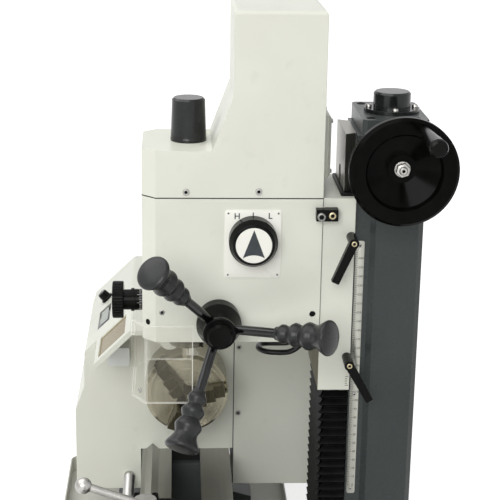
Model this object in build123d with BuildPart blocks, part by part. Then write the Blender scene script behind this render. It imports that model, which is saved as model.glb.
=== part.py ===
import math
import os

from build123d import *

os.makedirs("parts", exist_ok=True)

# Combination bench lathe and mill, in millimetres.
# Origin: middle of the bench bolt pattern, on the bench. +X runs from the headstock to the
# tailstock, -Y is the operator's side, +Z is up. The lathe axis lies over Y = 0.

# Fits and gaps
running_gap = 0.05  # radial room of a shaft in its bore
slide_gap = 0.2  # room between sliding ways
turn_gap = 0.4  # room between faces that turn past each other
small_edge = 1.0  # broken edge of turned parts

# Bench bolts and chip tray
bolt_span = 840.0
bolt_spread = 150.0
bolt_hole = 11.0
tray_sheet = 2.0
tray_rim = 24.0
tray_corner = 14.0
tray_overhang = 85.0  # past the bolts, at each end
tray_front = 165.0
tray_rear = 140.0

# Bed
centre_height = 105.0  # lathe axis above the ways
bed_top = 150.0
bed_base = 60.0
bed_width = 110.0
bed_right = 470.0
way_width = 37.0
way_depth = 20.0
web_inset = 9.0
web_thickness = 12.0
flange_lip = 6.0
ridge_inset = 13.0  # top of the raised way, from the bed's outer edge
ridge_half = 8.0
ridge_height = 7.0
foot_length = 70.0
foot_edge = 17.0  # foot past the bolt holes
foot_flange = 14.0
foot_shoulder = 24.0
foot_shoulder_run = 34.0
arch_height = 38.0
arch_draft = 10.0
rib_count = 7
rib_thickness = 10.0
axis_z = bed_top + centre_height
way_outer = bed_width / 2
way_inner = way_outer - way_width
web_outer = way_outer - web_inset
web_inner = web_outer - web_thickness
ridge_y = -(way_outer - ridge_inset)

# Headstock, console and housings behind it
headstock_length = 200.0
headstock_rear = 60.0
headstock_rise = 82.0  # top above the lathe axis
console_top_y = -70.0
console_low_y = -126.4
console_rise = 27.0  # lower edge above the lathe axis
skirt_front = 139.0
skirt_bottom = 95.0
skirt_gap = 2.0
skirt_drop = 51.0  # top of the skirt below the lathe axis
fascia_drop = 19.0  # foot of the upright front below the lathe axis
fascia_draft = 1.0
edge_round = 7.0
display_length = 68.0
display_height = 21.0
display_x = -329.0
display_up = 30.5  # up the slope, from the console's lower edge
display_depth = 1.5
motor_box_rear = 178.0
motor_box_rise = 70.0
motor_box_bottom = 100.0
vent_count = 7
vent_width = 6.0
vent_height = 80.0
vent_pitch = 20.0
vent_depth = 4.0
gear_cover_depth = 70.0
gear_cover_wall = 3.0
gear_cover_bottom = 98.0
gear_cover_hole = 24.0  # lets bar stock out behind the spindle
gear_cover_inset = 1.0  # gear cover inside the headstock's outline
gear_cover_step = 9.0
gear_cover_straight = 30.0
gear_cover_draw = 14.0  # far face inside the cover's own outline
headstock_top = axis_z + headstock_rise
console_low_z = axis_z + console_rise
motor_box_top = axis_z + motor_box_rise
headstock_left = -(bolt_span + foot_length) / 2
headstock_end = headstock_left + headstock_length

# Spindle, bearings and drive
spindle_radius = 20.0
spindle_bore = 10.0
spindle_tail = 50.0  # past the headstock's left face
flange_radius = 40.0
flange_thickness = 12.0
nose_gap = 3.0
bearing_radius = 31.0
bearing_width = 16.0
headstock_bore = 24.0
pulley_radius = 46.0
pulley_width = 22.0
pulley_groove = 3.0
pulley_grooves = 5
pulley_gap = 23.0  # from the headstock's left face
motor_pulley_radius = 20.0
motor_shaft_radius = 7.0
motor_shaft_length = 60.0
motor_y = 105.0
motor_drop = 50.0  # below the lathe axis
motor_z = axis_z - motor_drop
belt_thickness = 3.5
belt_gap = 0.3
belt_side = 2.0  # pulley past the belt, at each side

# Three-jaw chuck
chuck_radius = 50.0
chuck_length = 57.0
chuck_bore = 12.0
chuck_angle = 10.0  # first jaw, above the horizontal
jaw_width = 15.6
jaw_depth = 23.8
jaw_inner = 12.0
jaw_length = 34.0
jaw_step = 10.0
jaw_tread = 12.0  # outer step, along the radius
jaw_second_tread = 11.0
jaw_tip = 3.0  # half width of the pointed inner end
jaw_point = 60.0  # slant of the inner end's flanks
jaw_tongue = 3.0
tongue_setback = 5.0
tongue_high = 10.2
tongue_low = 15.8
key_square = 8.0
key_depth = 14.0
chuck_chamfer = 4.0
jaw_count = 3
flange_face = headstock_end + nose_gap + flange_thickness
chuck_face = flange_face + chuck_length

# Chuck guard and speed knob
guard_length = 90.0
guard_low_y = -108.0
guard_low_rise = 43.0  # lower edge above the lathe axis
guard_top_rise = 88.0
guard_slope = 44.6
guard_thick = 6.0
guard_border = 7.0
guard_end_border = 11.0
guard_window = 3.0
guard_pivot_y = -20.0
guard_pivot_radius = 12.0
guard_stub_radius = 4.0
guard_stub_length = 18.0
speed_knob_x = -394.0
speed_knob_up = 32.0
speed_knob_radius = 7.0
speed_knob_height = 12.0
speed_knob_shaft = 3.0
speed_knob_depth = 10.0
speed_skirt = 1.5  # skirt past the knob, all round
speed_skirt_height = 2.0
speed_draft = 0.6
guard_low_z = axis_z + guard_low_rise
guard_top_z = axis_z + guard_top_rise

# Leadscrew, carriage and apron
leadscrew_radius = 7.0
leadscrew_out = 17.0  # from the bed's side
leadscrew_drop = 38.0  # below the ways
leadscrew_tail = 35.0  # past the headstock's left face
bracket_length = 25.0
bracket_half = 14.0
carriage_x = 195.0
carriage_length = 130.0
bridge_length = 90.0
carriage_front = 112.0
carriage_rear = 75.0
carriage_thickness = 22.0
waist = 10.0
apron_length = 120.0
apron_thickness = 30.0
apron_bottom = 78.0
apron_corner = 16.0
apron_wheel_dx = -45.0
apron_wheel_z = 100.0
apron_wheel_radius = 36.0
apron_wheel_gap = 4.0
apron_wheel_hub = 12.0
wheel_shaft = 5.0
half_nut_dx = 35.0
half_nut_z = 112.0
half_nut_arm = 55.0
half_nut_angle = 60.0
lever_hub = 10.0
lever_shaft = 4.0
lever_hub_length = 14.0
lever_ball = 7.0
leadscrew_y = -(way_outer + leadscrew_out)
leadscrew_z = bed_top - leadscrew_drop
carriage_top = bed_top + carriage_thickness

# Cross slide, compound and tool post
cross_width = 90.0
cross_front = 110.0
cross_rear = 100.0
cross_thickness = 34.0
dove_half = 26.0
dove_flare = 5.0
dove_height = 12.0
dove_front = 95.0
slot_offset = 26.0
slot_mouth = 10.0
slot_mouth_depth = 8.0
slot_foot = 17.0
slot_foot_depth = 7.0
cross_bracket = 12.0
cross_bracket_width = 36.0
crank_rise = 23.0  # crank axis above the carriage
dial_radius = 18.0
dial_length = 14.0
dial_chamfer = 4.0
crank_radius = 36.0
crank_handle = 38.0
crank_arm_root = 9.0
crank_arm_tip = 6.5
crank_arm_thickness = 9.0
crank_balance = 21.0  # short end of the crank, from its axis
crank_balance_tip = 8.0
compound_y = -42.0
compound_radius = 38.0
compound_thickness = 10.0
top_dove_half = 15.0
top_dove_flare = 4.0
top_dove_height = 8.0
top_slide_left = 55.0
top_slide_right = 40.0
top_slide_width = 48.0
top_slide_height = 20.0
top_travel = 42.0  # clear of the compound base, ahead of the crank
top_dial_radius = 13.0
top_dial_room = 1.0  # under the dial, over the swivel
top_dial_neck = 10.0
top_dial_length = 22.0
top_handle = 30.0
top_handle_inset = 5.0
top_handle_root = 3.0
top_handle_swell = 4.8
top_dove_inset = 4.0
post_dx = -22.0
post_side = 56.0
post_height = 47.0
post_core = 28.0
post_slot = 16.0
post_slot_rise = 9.0
post_chamfer = 3.0
stud_radius = 6.0
stud_rise = 13.0
stud_setback = 3.0  # end of the stud inside the lever's hub
post_lever_reach = 62.0
post_lever_tilt = 20.0
post_lever_hub = 11.0
post_lever_ball = 8.0
cross_bottom = carriage_top + slide_gap
cross_top = carriage_top + cross_thickness
compound_top = cross_top + compound_thickness
top_slide_top = compound_top + top_slide_height
crank_z = carriage_top + crank_rise
post_x = carriage_x + post_dx

# Handwheels of the apron and the tailstock
handwheel_web = 7.0  # back of the web, out from the hub's back
handwheel_thickness = 6.0
handwheel_rim_width = 11.0
handwheel_rim_depth = 8.0
handwheel_nose = 21.0
handwheel_handle = 30.0
handle_neck = 10.0
handle_root = 4.0
handle_swell = 6.5
handle_end = 5.0
handle_round = 4.0

# Tailstock
tail_left = 375.0
tail_length = 85.0
tail_base_half = 52.0
tail_base_height = 18.0
tail_waist = 30.0
tail_waist_rise = 10.0
tail_waist_draft = 8.0
barrel_radius = 28.0
barrel_overhang = 8.0
tail_quill_radius = 15.0
tail_quill_out = 25.0  # past the tailstock's left face
tail_quill_length = 95.0
tail_socket_mouth = 8.9
tail_socket_end = 7.4
tail_socket_depth = 60.0
tail_wheel_radius = 45.0
tail_wheel_hub = 14.0
tail_wheel_shaft = 6.0
tail_screw_gap = 4.0  # between the wheel's shaft and the quill
tail_lever_reach = 58.0
tail_lever_radius = 4.0
tail_lever_hub = 11.0
tail_lever_depth = 3.0  # left between the lever's hole and the quill's
tail_boss_radius = 9.0
tail_boss_height = 4.0

# Mill: where the head stands over the lathe
mill_x = -50.0
head_rise = 137.0  # underside of the head above the lathe axis
head_width = 108.0
head_front = 48.0  # spindle to the front face
throat = 138.0  # spindle to the saddle
head_height = 156.0
head_chamfer = 14.0
side_hole_y = 130.0
side_hole_rise = 31.0
side_hole_radius = 3.3
side_hole_depth = 10.0
head_bottom = axis_z + head_rise
seam_z = head_bottom + head_height
head_side = mill_x + head_width / 2
head_rear = throat - turn_gap

# Saddle and column
saddle_inset = 1.0  # saddle's sides inside the head's
saddle_height = 211.0
saddle_depth = 34.0
dovetail_half = 38.0
dovetail_root = 31.0
dovetail_depth = 12.0
column_rise = 64.0  # column top above the head's seam
column_half = 50.0
column_front_half = 46.0
column_depth = 72.0
column_step = 16.0
column_step_run = 6.0
column_corner = 6.0
column_foot = 16.0
foot_margin = 12.0
shaft_room_half = 20.0
shaft_room_wall = 4.0
nut_slot_half = 8.0
nut_slot_bottom = 300.0
nut_slot_below_top = 40.0
bracket_top = 120.0
bracket_drop = 30.0
bracket_tip = 22.0
column_half_base = 80.0
bracket_flange = 17.0
bracket_flange_top = 140.0
bracket_step = 8.0
pocket_front = 10.0  # behind the flange
pocket_rear = 20.0
pocket_rib = 16.0
pocket_side = 14.0
saddle_bottom = seam_z - saddle_height
saddle_half = head_width / 2 - saddle_inset
saddle_side = mill_x + saddle_half
column_front = throat + saddle_depth
column_rear = column_front + column_depth
column_top = seam_z + column_rise
dovetail_front = column_front - dovetail_depth

# Tilt joint between the saddle and the head
tilt_rise = 68.0  # above the head's underside
tilt_radius = 30.0
tilt_depth = 10.0
stop_length = 22.5
stop_height = 12.2
stop_thickness = 11.0
stop_lap = 8.0  # stop over the head's side
stop_below_seam = 21.5
stop_step = 1.5  # face on the saddle, behind the joint
tilt_z = head_bottom + tilt_rise

# Column top and lift
cap_thickness = 17.0
cap_setback = 4.0
cap_chamfer = 4.0
lift_setback = 40.0  # behind the column's front
lift_drop = 25.0  # below the column's top
lift_screw_radius = 8.0
lift_nut_radius = 14.0
lift_nut_height = 30.0
lift_nut_arm = 7.0
lift_nut_rise = 118.0  # above the saddle's underside
lift_shaft_radius = 7.0
bevel_radius = 13.0
gear_radius = 15.0
gear_face = 10.0
gear_hub = 4.0
wheel_radius = 55.0
wheel_rim = 17.0
wheel_plane = 91.0  # back of the rim, from the column's middle
wheel_rim_width = 13.0
wheel_hub = 13.0
wheel_dish = 5.0  # hub's front behind the rim's back
wheel_web = 6.0
wheel_round = 3.0
wheel_gap = 10.0  # from the column's side to the hub
lift_stud_radius = 4.0
lift_stud_length = 10.0
handle_orbit = 46.0
handle_angle = 68.5
handle_pin = 3.0
handle_pin_length = 60.0
handle_length = 82.0
handle_tip = 9.2
handle_back = 5.0
cap_flange_radius = 29.0
cap_flange_thickness = 4.0
cap_radius = 19.5
cap_height = 17.0
cap_round = 2.0
lift_y = column_front + lift_setback
lift_z = column_top - lift_drop

# Bellows under the saddle
bellows_half = 50.0
bellows_front = 139.5
bellows_fold = 7.0
bellows_pleats = 22
bellows_gap = 0.5
bellows_side_room = 2.0  # beside the dovetail
bellows_front_room = 8.0

# Clamp levers of the saddle
clamp_hub_radius = 5.2
clamp_hub_length = 27.0
clamp_arm_length = 46.0
clamp_arm_root = 4.6
clamp_arm_tip = 3.9
clamp_arm_thickness = 9.0
clamp_stud = 2.5
clamp_stud_depth = 12.0
clamp_inset = 4.2  # pivot ahead of the saddle's rear edge
clamp_upper_rise = 170.3
clamp_lower_rise = 37.6
clamp_upper_angle = 247.0
clamp_lower_angle = 299.5

# Head cover and motor
cover_wall = 3.0
cover_low = 49.0
cover_height = 190.0
cover_slope_y = 23.6
cover_slope_top = 105.0
cover_tower_y = 44.3
cover_edge = 4.0
wiring_rise = 16.0  # wiring box above the seam
wiring_height = 65.0
wiring_depth = 9.0
wiring_left = 45.0
wiring_right = 30.0
wiring_edge = 3.0
motor_radius = 37.0
motor_height = 150.0
motor_back = 92.0
motor_flange = 4.0
motor_flange_height = 8.0
motor_round = 6.0
drawbar_low = 18.5
drawbar_high = 17.2
drawbar_height = 45.0
drawbar_lip = 0.3
drawbar_lip_height = 3.0

# Quill and spindle of the mill
quill_radius = 30.0
quill_out = 12.0
quill_length = 130.0
quill_room = 10.0  # over the quill's top
quill_chamfer = 2.0
spindle_room = 1.0
mill_spindle_radius = 15.0
mill_nose_radius = 20.0
mill_nose_height = 8.0
mill_spindle_top = 38.0  # above the head's seam
taper_mouth = 11.9
taper_end = 9.9
taper_depth = 70.0

# Gear selector knob
selector_y = 66.0
selector_below_seam = 43.0
selector_back = 25.0
selector_front = 21.5
selector_length = 23.0
selector_skirt = 15.0
selector_step = 0.5
selector_shaft = 5.0
plate_room = 1.3  # room for the plate under the knob
selector_z = seam_z - selector_below_seam

# Capstan
capstan_y = 31.6
capstan_rise = 25.0  # above the head's underside
capstan_shaft = 8.0
shaft_depth = 20.0
feed_flange_radius = 22.5
feed_flange_length = 12.0
hub_radius = 23.5
hub_nose = 17.0
hub_length = 42.0
hub_skirt = 6.0
hub_cone = 20.0
hub_knob = 13.0
hub_knob_length = 10.0
hub_knob_round = 2.0
rod_radius = 5.0
rod_tilt = 34.7
rod_angle = 8.7
rod_root_x = 25.6  # where the rods' axes meet, out from the head's side
rod_start = 16.0
rod_end = 115.5
rod_count = 3
grip_start = 68.5
grip_end = 134.5
grip_disc = 19.0
grip_disc_width = 10.0
grip_edge = 3.0
ring_pitch = 14.3
ring_swell = [9.2, 11.2, 12.6]
ring_waist = [6.2, 7.6, 9.4, 11.2]
capstan_z = head_bottom + capstan_rise

# Fine feed
fine_rise = 29.0  # above the head's underside
fine_knob_radius = 20.0
fine_knob_width = 12.0
fine_flutes = 36
fine_flute_radius = 0.9
fine_neck_radius = 11.0
fine_neck = 8.0
fine_ring_radius = 12.5
fine_ring = 3.5
fine_dial_radius = 11.5
fine_dial = 9.0
fine_shaft = 5.0
fine_depth = 11.0
fine_z = head_bottom + fine_rise

# Spindle guard of the mill
shield_sheet = 3.0
shield_side = 65.0
shield_front = 60.0
shield_rear = 5.0
shield_corner = 15.0  # slanted corner, along Y
shield_corner_run = 24.0  # and along X
shield_low = 65.0  # below the head's underside
shield_high = 21.0  # above the head's underside, at the sides
shield_notch = 17.0  # the front panel is this much lower
shield_pin_out = 4.0  # pin's axis past the sheet's outer face
shield_pin_y = 6.0
shield_pin_radius = 4.0
shield_tube_radius = 7.0
shield_tube_low = 60.0
shield_lug = 8.0
shield_lug_rise = 4.0

# Cable under the head
cable_radius = 3.1
gland_radius = 7.5
gland_length = 12.0
gland_wall = 2.0
gland_taper = 3.0
cable_y = 129.5
cable_near = -5.5  # from the mill's axis
cable_far = -33.5
cable_drop = 8.0
cable_bend = 14.0
cable_run = 14.4
cable_sway = 1.0  # the straight runs bow out a little
cable_sag = 0.6


def along_x(y, z):
    # plane whose local x is a lengthways axis and whose local y is the radius
    return Plane(origin=(0, y, z), x_dir=(1, 0, 0), z_dir=(0, 0, 1))


def along_y(x, z):
    return Plane(origin=(x, 0, z), x_dir=(0, 1, 0), z_dir=(0, 0, 1))


def along_z(x, y):
    return Plane(origin=(x, y, 0), x_dir=(0, 0, 1), z_dir=(0, 1, 0))


def facing_y(y):
    # plane across the lathe: local x is X, local y is Z, extrusion goes towards the operator
    return Plane.XZ.offset(-y)


def outline(plane, points, inset=0.0, corner=0.0):
    # face with the given corners, drawn in by inset all round, then rounded
    with BuildSketch(plane) as drawn:
        with BuildLine():
            Polyline(points, close=True)
        make_face()
        if inset:
            offset(amount=-inset, mode=Mode.REPLACE)
        if corner:
            fillet(drawn.vertices(), corner)
    return drawn.sketch


def turned(plane, profile, mode=Mode.ADD):
    # solid of revolution of (distance along the axis, radius) corners
    revolve(outline(plane, profile), axis=Axis(plane.origin, plane.x_dir), mode=mode)


def block(x, y, z, mode=Mode.ADD):
    with Locations(((x[0] + x[1]) / 2, (y[0] + y[1]) / 2, (z[0] + z[1]) / 2)):
        Box(x[1] - x[0], y[1] - y[0], z[1] - z[0], mode=mode)


def rod(start, direction, radius, length, mode=Mode.ADD):
    with Locations(Plane(start, z_dir=direction)):
        Cylinder(radius, length, align=(Align.CENTER, Align.CENTER, Align.MIN), mode=mode)


def tapered_arm(plane, length, root, tip, thickness):
    # flat lever arm: two rounds joined by straight flanks
    with BuildSketch(plane) as arm:
        Circle(root)
        with Locations((length, 0)):
            Circle(tip)
        make_hull()
    extrude(arm.sketch, amount=thickness)


def square_arm(plane, length, root, tip, thickness):
    # flat lever arm with a round root and a square-cut tip
    with BuildSketch(plane) as arm:
        Circle(root)
        with BuildLine():
            Polyline([(0, -root), (length, -tip), (length, tip), (0, root)], close=True)
        make_face()
    extrude(arm.sketch, amount=thickness)


def grip(plane, start, out, length, root, swell, tip):
    # turned handle on a short neck, out along the plane's local x
    turned(
        plane,
        [
            (start, 0),
            (start, root),
            (start + out * handle_neck, root),
            (start + out * (length - handle_round), swell),
            (start + out * length, tip),
            (start + out * length, 0),
        ],
    )


def handwheel(axis_plane, handle_plane, out, shaft, back, rim, hub):
    # dished wheel on a shaft (inner end, radius), with a handle near its rim
    rim_foot = rim - handwheel_rim_depth
    rim_start = back + out * (handwheel_web - small_edge)
    rim_end = rim_start + out * handwheel_rim_width
    web_start = back + out * handwheel_web
    web_end = web_start + out * handwheel_thickness
    nose = back + out * handwheel_nose
    turned(
        axis_plane,
        [
            (shaft[0], 0),
            shaft,
            (back, shaft[1]),
            (back, hub),
            (web_start, hub),
            (web_start + out * small_edge, rim_foot - small_edge),
            (rim_start, rim_foot),
            (rim_start, rim - small_edge),
            (rim_start + out * small_edge, rim),
            (rim_end - out * small_edge, rim),
            (rim_end, rim - small_edge),
            (rim_end, rim_foot),
            (web_end, rim_foot - small_edge),
            (web_end, hub),
            (nose, hub - 2 * small_edge),
            (nose, 0),
        ],
    )
    reach = handwheel_rim_width + handwheel_handle
    grip(handle_plane, rim_start + out, out, reach, handle_root, handle_swell, handle_end)


def ridge(grow):
    # section of the raised front way, grown by a gap for what rides on it
    half = ridge_half + grow
    return [
        (ridge_y - half, bed_top),
        (ridge_y, bed_top + ridge_height + grow),
        (ridge_y + half, bed_top),
    ]


def save(piece, name):
    piece.part.label = name
    export_step(piece.part, f"parts/{name}.step")


# Chip tray
tray_length = bolt_span + 2 * tray_overhang
tray_width = tray_front + tray_rear
tray_middle = (tray_rear - tray_front) / 2
with BuildPart() as chip_tray:
    with BuildSketch():
        with Locations((0, tray_middle)):
            RectangleRounded(tray_length, tray_width, tray_corner)
    extrude(amount=tray_rim)
    with BuildSketch(Plane.XY.offset(tray_sheet)):
        with Locations((0, tray_middle)):
            RectangleRounded(
                tray_length - 2 * tray_sheet, tray_width - 2 * tray_sheet, tray_corner - tray_sheet
            )
    extrude(amount=tray_rim, mode=Mode.SUBTRACT)
    with Locations((0, 0, tray_sheet)):
        with GridLocations(bolt_span, bolt_spread, 2, 2):
            Hole(bolt_hole / 2)
save(chip_tray, "chip_tray")

# Bed: two ways on webs, tied by ribs, on two feet
bed_length = bed_right - headstock_left
way_root = bed_top - way_depth
foot_half = bolt_spread / 2 + foot_edge
way_section = [
    (way_inner, bed_top),
    (way_outer, bed_top),
    (way_outer, way_root),
    (web_outer, way_root - flange_lip),
    (web_outer, bed_base + 2 * flange_lip),
    (web_outer + flange_lip, bed_base + flange_lip),
    (web_outer + flange_lip, bed_base),
    (web_inner - flange_lip, bed_base),
    (web_inner - flange_lip, bed_base + flange_lip),
    (web_inner, bed_base + 2 * flange_lip),
    (web_inner, way_root - flange_lip),
    (way_inner, way_root),
]
foot_half_section = [
    (foot_half, 0),
    (foot_half, foot_flange),
    (foot_half - foot_shoulder_run, foot_shoulder),
]
with BuildPart() as bed:
    for side in (-1, 1):
        section = [(side * y, z) for y, z in way_section]
        extrude(outline(Plane.YZ.offset(headstock_left), section), amount=bed_length)
    extrude(outline(Plane.YZ.offset(headstock_left), ridge(0)), amount=bed_length)
    for i in range(rib_count):
        rib_x = headstock_left + (i + 0.5) * bed_length / rib_count
        block(
            (rib_x - rib_thickness / 2, rib_x + rib_thickness / 2),
            (-web_outer, web_outer),
            (bed_base, way_root),
        )
    for side in (-1, 1):
        foot_x = side * bolt_span / 2 - foot_length / 2
        right_half = [(y, tray_sheet + z) for y, z in foot_half_section] + [(web_outer, bed_base)]
        left_half = [(-y, z) for y, z in reversed(right_half)]
        extrude(outline(Plane.YZ.offset(foot_x), right_half + left_half), amount=foot_length)
        arch = [
            (-web_inner, tray_sheet),
            (web_inner, tray_sheet),
            (web_inner - arch_draft, tray_sheet + arch_height),
            (arch_draft - web_inner, tray_sheet + arch_height),
        ]
        extrude(outline(Plane.YZ.offset(foot_x), arch), amount=foot_length, mode=Mode.SUBTRACT)
    with Locations((0, 0, bed_base)):
        with GridLocations(bolt_span, bolt_spread, 2, 2):
            Hole(bolt_hole / 2)
    block(
        (bed_right - bracket_length, bed_right),
        (leadscrew_y - bracket_half, -web_inner),
        (leadscrew_z - bracket_half, way_root),
    )
    rod(
        (bed_right - bracket_length, leadscrew_y, leadscrew_z),
        (1, 0, 0),
        leadscrew_radius + running_gap,
        bracket_length,
        mode=Mode.SUBTRACT,
    )
save(bed, "bed")

# Headstock: casting with a sloped console and a flared front skirt
slope_run = console_top_y - console_low_y
slope_rise = headstock_top - console_low_z
slope_length = math.hypot(slope_run, slope_rise)
slope_normal = (0, -slope_rise / slope_length, slope_run / slope_length)


def console_plane(x, up):
    # plane on the console: local x lengthways, local y up the slope
    y = console_low_y + slope_run * up / slope_length
    z = console_low_z + slope_rise * up / slope_length
    return Plane(origin=(x, y, z), x_dir=(1, 0, 0), z_dir=slope_normal)


inner_skirt = -(way_outer + skirt_gap)
headstock_section = [
    (headstock_rear, bed_top),
    (headstock_rear, headstock_top),
    (console_top_y, headstock_top),
    (console_low_y, console_low_z),
    (console_low_y - fascia_draft, axis_z - fascia_drop),
    (-skirt_front, axis_z - skirt_drop),
    (-skirt_front, skirt_bottom),
    (inner_skirt, skirt_bottom),
    (inner_skirt, bed_top),
]
with BuildPart() as headstock:
    with BuildSketch(Plane.YZ.offset(headstock_left)) as casting:
        with BuildLine():
            Polyline(headstock_section, close=True)
        make_face()
        fillet(casting.vertices().filter_by(lambda v: v.Y >= console_low_z), edge_round)
    extrude(amount=headstock_length)
    extrude(
        outline(Plane.YZ.offset(headstock_left), ridge(slide_gap)),
        amount=headstock_length,
        mode=Mode.SUBTRACT,
    )
    rod(
        (headstock_left, 0, axis_z), (1, 0, 0), headstock_bore, headstock_length, mode=Mode.SUBTRACT
    )
    for seat_x in (headstock_left, headstock_end - bearing_width):
        rod((seat_x, 0, axis_z), (1, 0, 0), bearing_radius, bearing_width, mode=Mode.SUBTRACT)
    rod(
        (headstock_left, leadscrew_y, leadscrew_z),
        (1, 0, 0),
        leadscrew_radius + running_gap,
        headstock_length,
        mode=Mode.SUBTRACT,
    )
    guard_pivot_z = guard_top_z - guard_pivot_radius
    rod(
        (headstock_end, guard_pivot_y, guard_pivot_z),
        (-1, 0, 0),
        guard_stub_radius + running_gap,
        guard_stub_length + turn_gap,
        mode=Mode.SUBTRACT,
    )
    with BuildSketch(console_plane(display_x, display_up)):
        Rectangle(display_length, display_height)
    extrude(amount=-display_depth, mode=Mode.SUBTRACT)
    knob_seat = console_plane(speed_knob_x, speed_knob_up)
    rod(
        knob_seat.origin,
        -knob_seat.z_dir,
        speed_knob_shaft + running_gap,
        speed_knob_depth + turn_gap,
        mode=Mode.SUBTRACT,
    )
save(headstock, "headstock")

# Motor housing behind the headstock, with air slots at the back
with BuildPart() as motor_housing:
    with BuildSketch(Plane.YZ.offset(headstock_left)) as box_end:
        with BuildLine():
            Polyline(
                [
                    (headstock_rear, motor_box_bottom),
                    (motor_box_rear, motor_box_bottom),
                    (motor_box_rear, motor_box_top),
                    (headstock_rear, motor_box_top),
                ],
                close=True,
            )
        make_face()
        fillet(box_end.vertices().filter_by(lambda v: v.X > headstock_rear + 1), edge_round)
    extrude(amount=headstock_length)
    middle = Plane(
        origin=(
            (headstock_left + headstock_end) / 2,
            motor_box_rear,
            (motor_box_bottom + motor_box_top) / 2,
        ),
        x_dir=(1, 0, 0),
        z_dir=(0, 1, 0),
    )
    with BuildSketch(middle):
        with GridLocations(vent_pitch, 1, vent_count, 1):
            SlotOverall(vent_height, vent_width, rotation=90)
    extrude(amount=-vent_depth, mode=Mode.SUBTRACT)
    rod(
        (headstock_left, motor_y, motor_z),
        (1, 0, 0),
        motor_shaft_radius + running_gap,
        motor_shaft_length,
        mode=Mode.SUBTRACT,
    )
save(motor_housing, "motor_housing")

# Gear cover: shell over the left end, drawn in towards its far face
cover_front = console_low_y + gear_cover_inset
cover_rear = motor_box_rear - gear_cover_wall
cover_outline = [
    (cover_front, gear_cover_bottom),
    (cover_front, console_low_z),
    (console_top_y, headstock_top - gear_cover_inset),
    (headstock_rear, headstock_top - gear_cover_inset),
    (cover_rear, motor_box_top - gear_cover_step),
    (cover_rear, gear_cover_bottom),
]


def cover_section(out, inset):
    # the cover's rounded outline at a distance out from the headstock
    return outline(Plane.YZ.offset(headstock_left - out), cover_outline, inset, edge_round)


with BuildPart() as gear_cover:
    for inset, depth, mode in (
        (0.0, gear_cover_depth, Mode.ADD),
        (gear_cover_wall, gear_cover_depth - gear_cover_wall, Mode.SUBTRACT),
    ):
        extrude(cover_section(0, inset), amount=-gear_cover_straight, mode=mode)
        shoulder = cover_section(gear_cover_straight, inset)
        loft([shoulder, cover_section(depth, inset + gear_cover_draw)], mode=mode)
    rod(
        (headstock_left, 0, axis_z),
        (-1, 0, 0),
        gear_cover_hole,
        gear_cover_depth,
        mode=Mode.SUBTRACT,
    )
save(gear_cover, "gear_cover")

# Spindle bearings, one at each end of the headstock
lathe_axis = along_x(0, axis_z)
with BuildPart() as spindle_bearings:
    for seat_x in (headstock_left, headstock_end - bearing_width):
        turned(
            lathe_axis,
            [
                (seat_x, spindle_radius + running_gap),
                (seat_x, bearing_radius - running_gap),
                (seat_x + bearing_width, bearing_radius - running_gap),
                (seat_x + bearing_width, spindle_radius + running_gap),
            ],
        )
save(spindle_bearings, "spindle_bearings")

# Lathe spindle with its flange nose
spindle_left = headstock_left - spindle_tail
with BuildPart() as lathe_spindle:
    turned(
        lathe_axis,
        [
            (spindle_left, spindle_bore),
            (spindle_left, spindle_radius),
            (headstock_end + nose_gap, spindle_radius),
            (headstock_end + nose_gap, flange_radius),
            (flange_face, flange_radius),
            (flange_face, spindle_bore),
        ],
    )
save(lathe_spindle, "lathe_spindle")


def grooved(start, outer, inner):
    # corners of a ribbed pulley rim from one side to the other, then back along its bore
    step = pulley_width / pulley_grooves
    corners = [(start, inner), (start, outer)]
    for i in range(pulley_grooves):
        corners.append((start + (i + 0.5) * step, outer - pulley_groove))
        corners.append((start + (i + 1) * step, outer))
    corners.append((start + pulley_width, inner))
    return corners


# Ribbed pulleys and belt, under the gear cover
pulley_left = headstock_left - pulley_gap - pulley_width
motor_axis = along_x(motor_y, motor_z)
with BuildPart() as spindle_pulley:
    turned(lathe_axis, grooved(pulley_left, pulley_radius, spindle_radius))
save(spindle_pulley, "spindle_pulley")

with BuildPart() as motor_pulley:
    turned(motor_axis, grooved(pulley_left, motor_pulley_radius, 0))
    rod(
        (pulley_left + pulley_width, motor_y, motor_z),
        (1, 0, 0),
        motor_shaft_radius,
        pulley_gap + motor_shaft_length - turn_gap,
    )
save(motor_pulley, "motor_pulley")


def belt_loop(grow):
    # loop round both pulleys
    with BuildSketch(Plane.YZ.offset(pulley_left + belt_side)) as loop:
        with Locations((0, axis_z)):
            Circle(pulley_radius + grow)
        with Locations((motor_y, motor_z)):
            Circle(motor_pulley_radius + grow)
        make_hull()
    return loop.sketch


with BuildPart() as drive_belt:
    belt_width = pulley_width - 2 * belt_side
    extrude(belt_loop(belt_gap + belt_thickness), amount=belt_width)
    extrude(belt_loop(belt_gap), amount=belt_width, mode=Mode.SUBTRACT)
save(drive_belt, "drive_belt")

# Chuck body with three jaw slots and three key sockets
jaw_spread = 360 / jaw_count
jaw_angles = [chuck_angle + jaw_spread * i for i in range(jaw_count)]


def jaw_plane(angle):
    # plane through the lathe axis: local x is the jaw's radius, local y runs along the axis
    turn = math.radians(angle)
    return Plane(
        origin=(chuck_face, 0, axis_z),
        x_dir=(0, math.cos(turn), math.sin(turn)),
        z_dir=(0, math.sin(turn), -math.cos(turn)),
    )


def slot_section(depth_low, depth_high, outer):
    return [(0, depth_low), (outer, depth_low), (outer, depth_high), (0, depth_high)]


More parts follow.
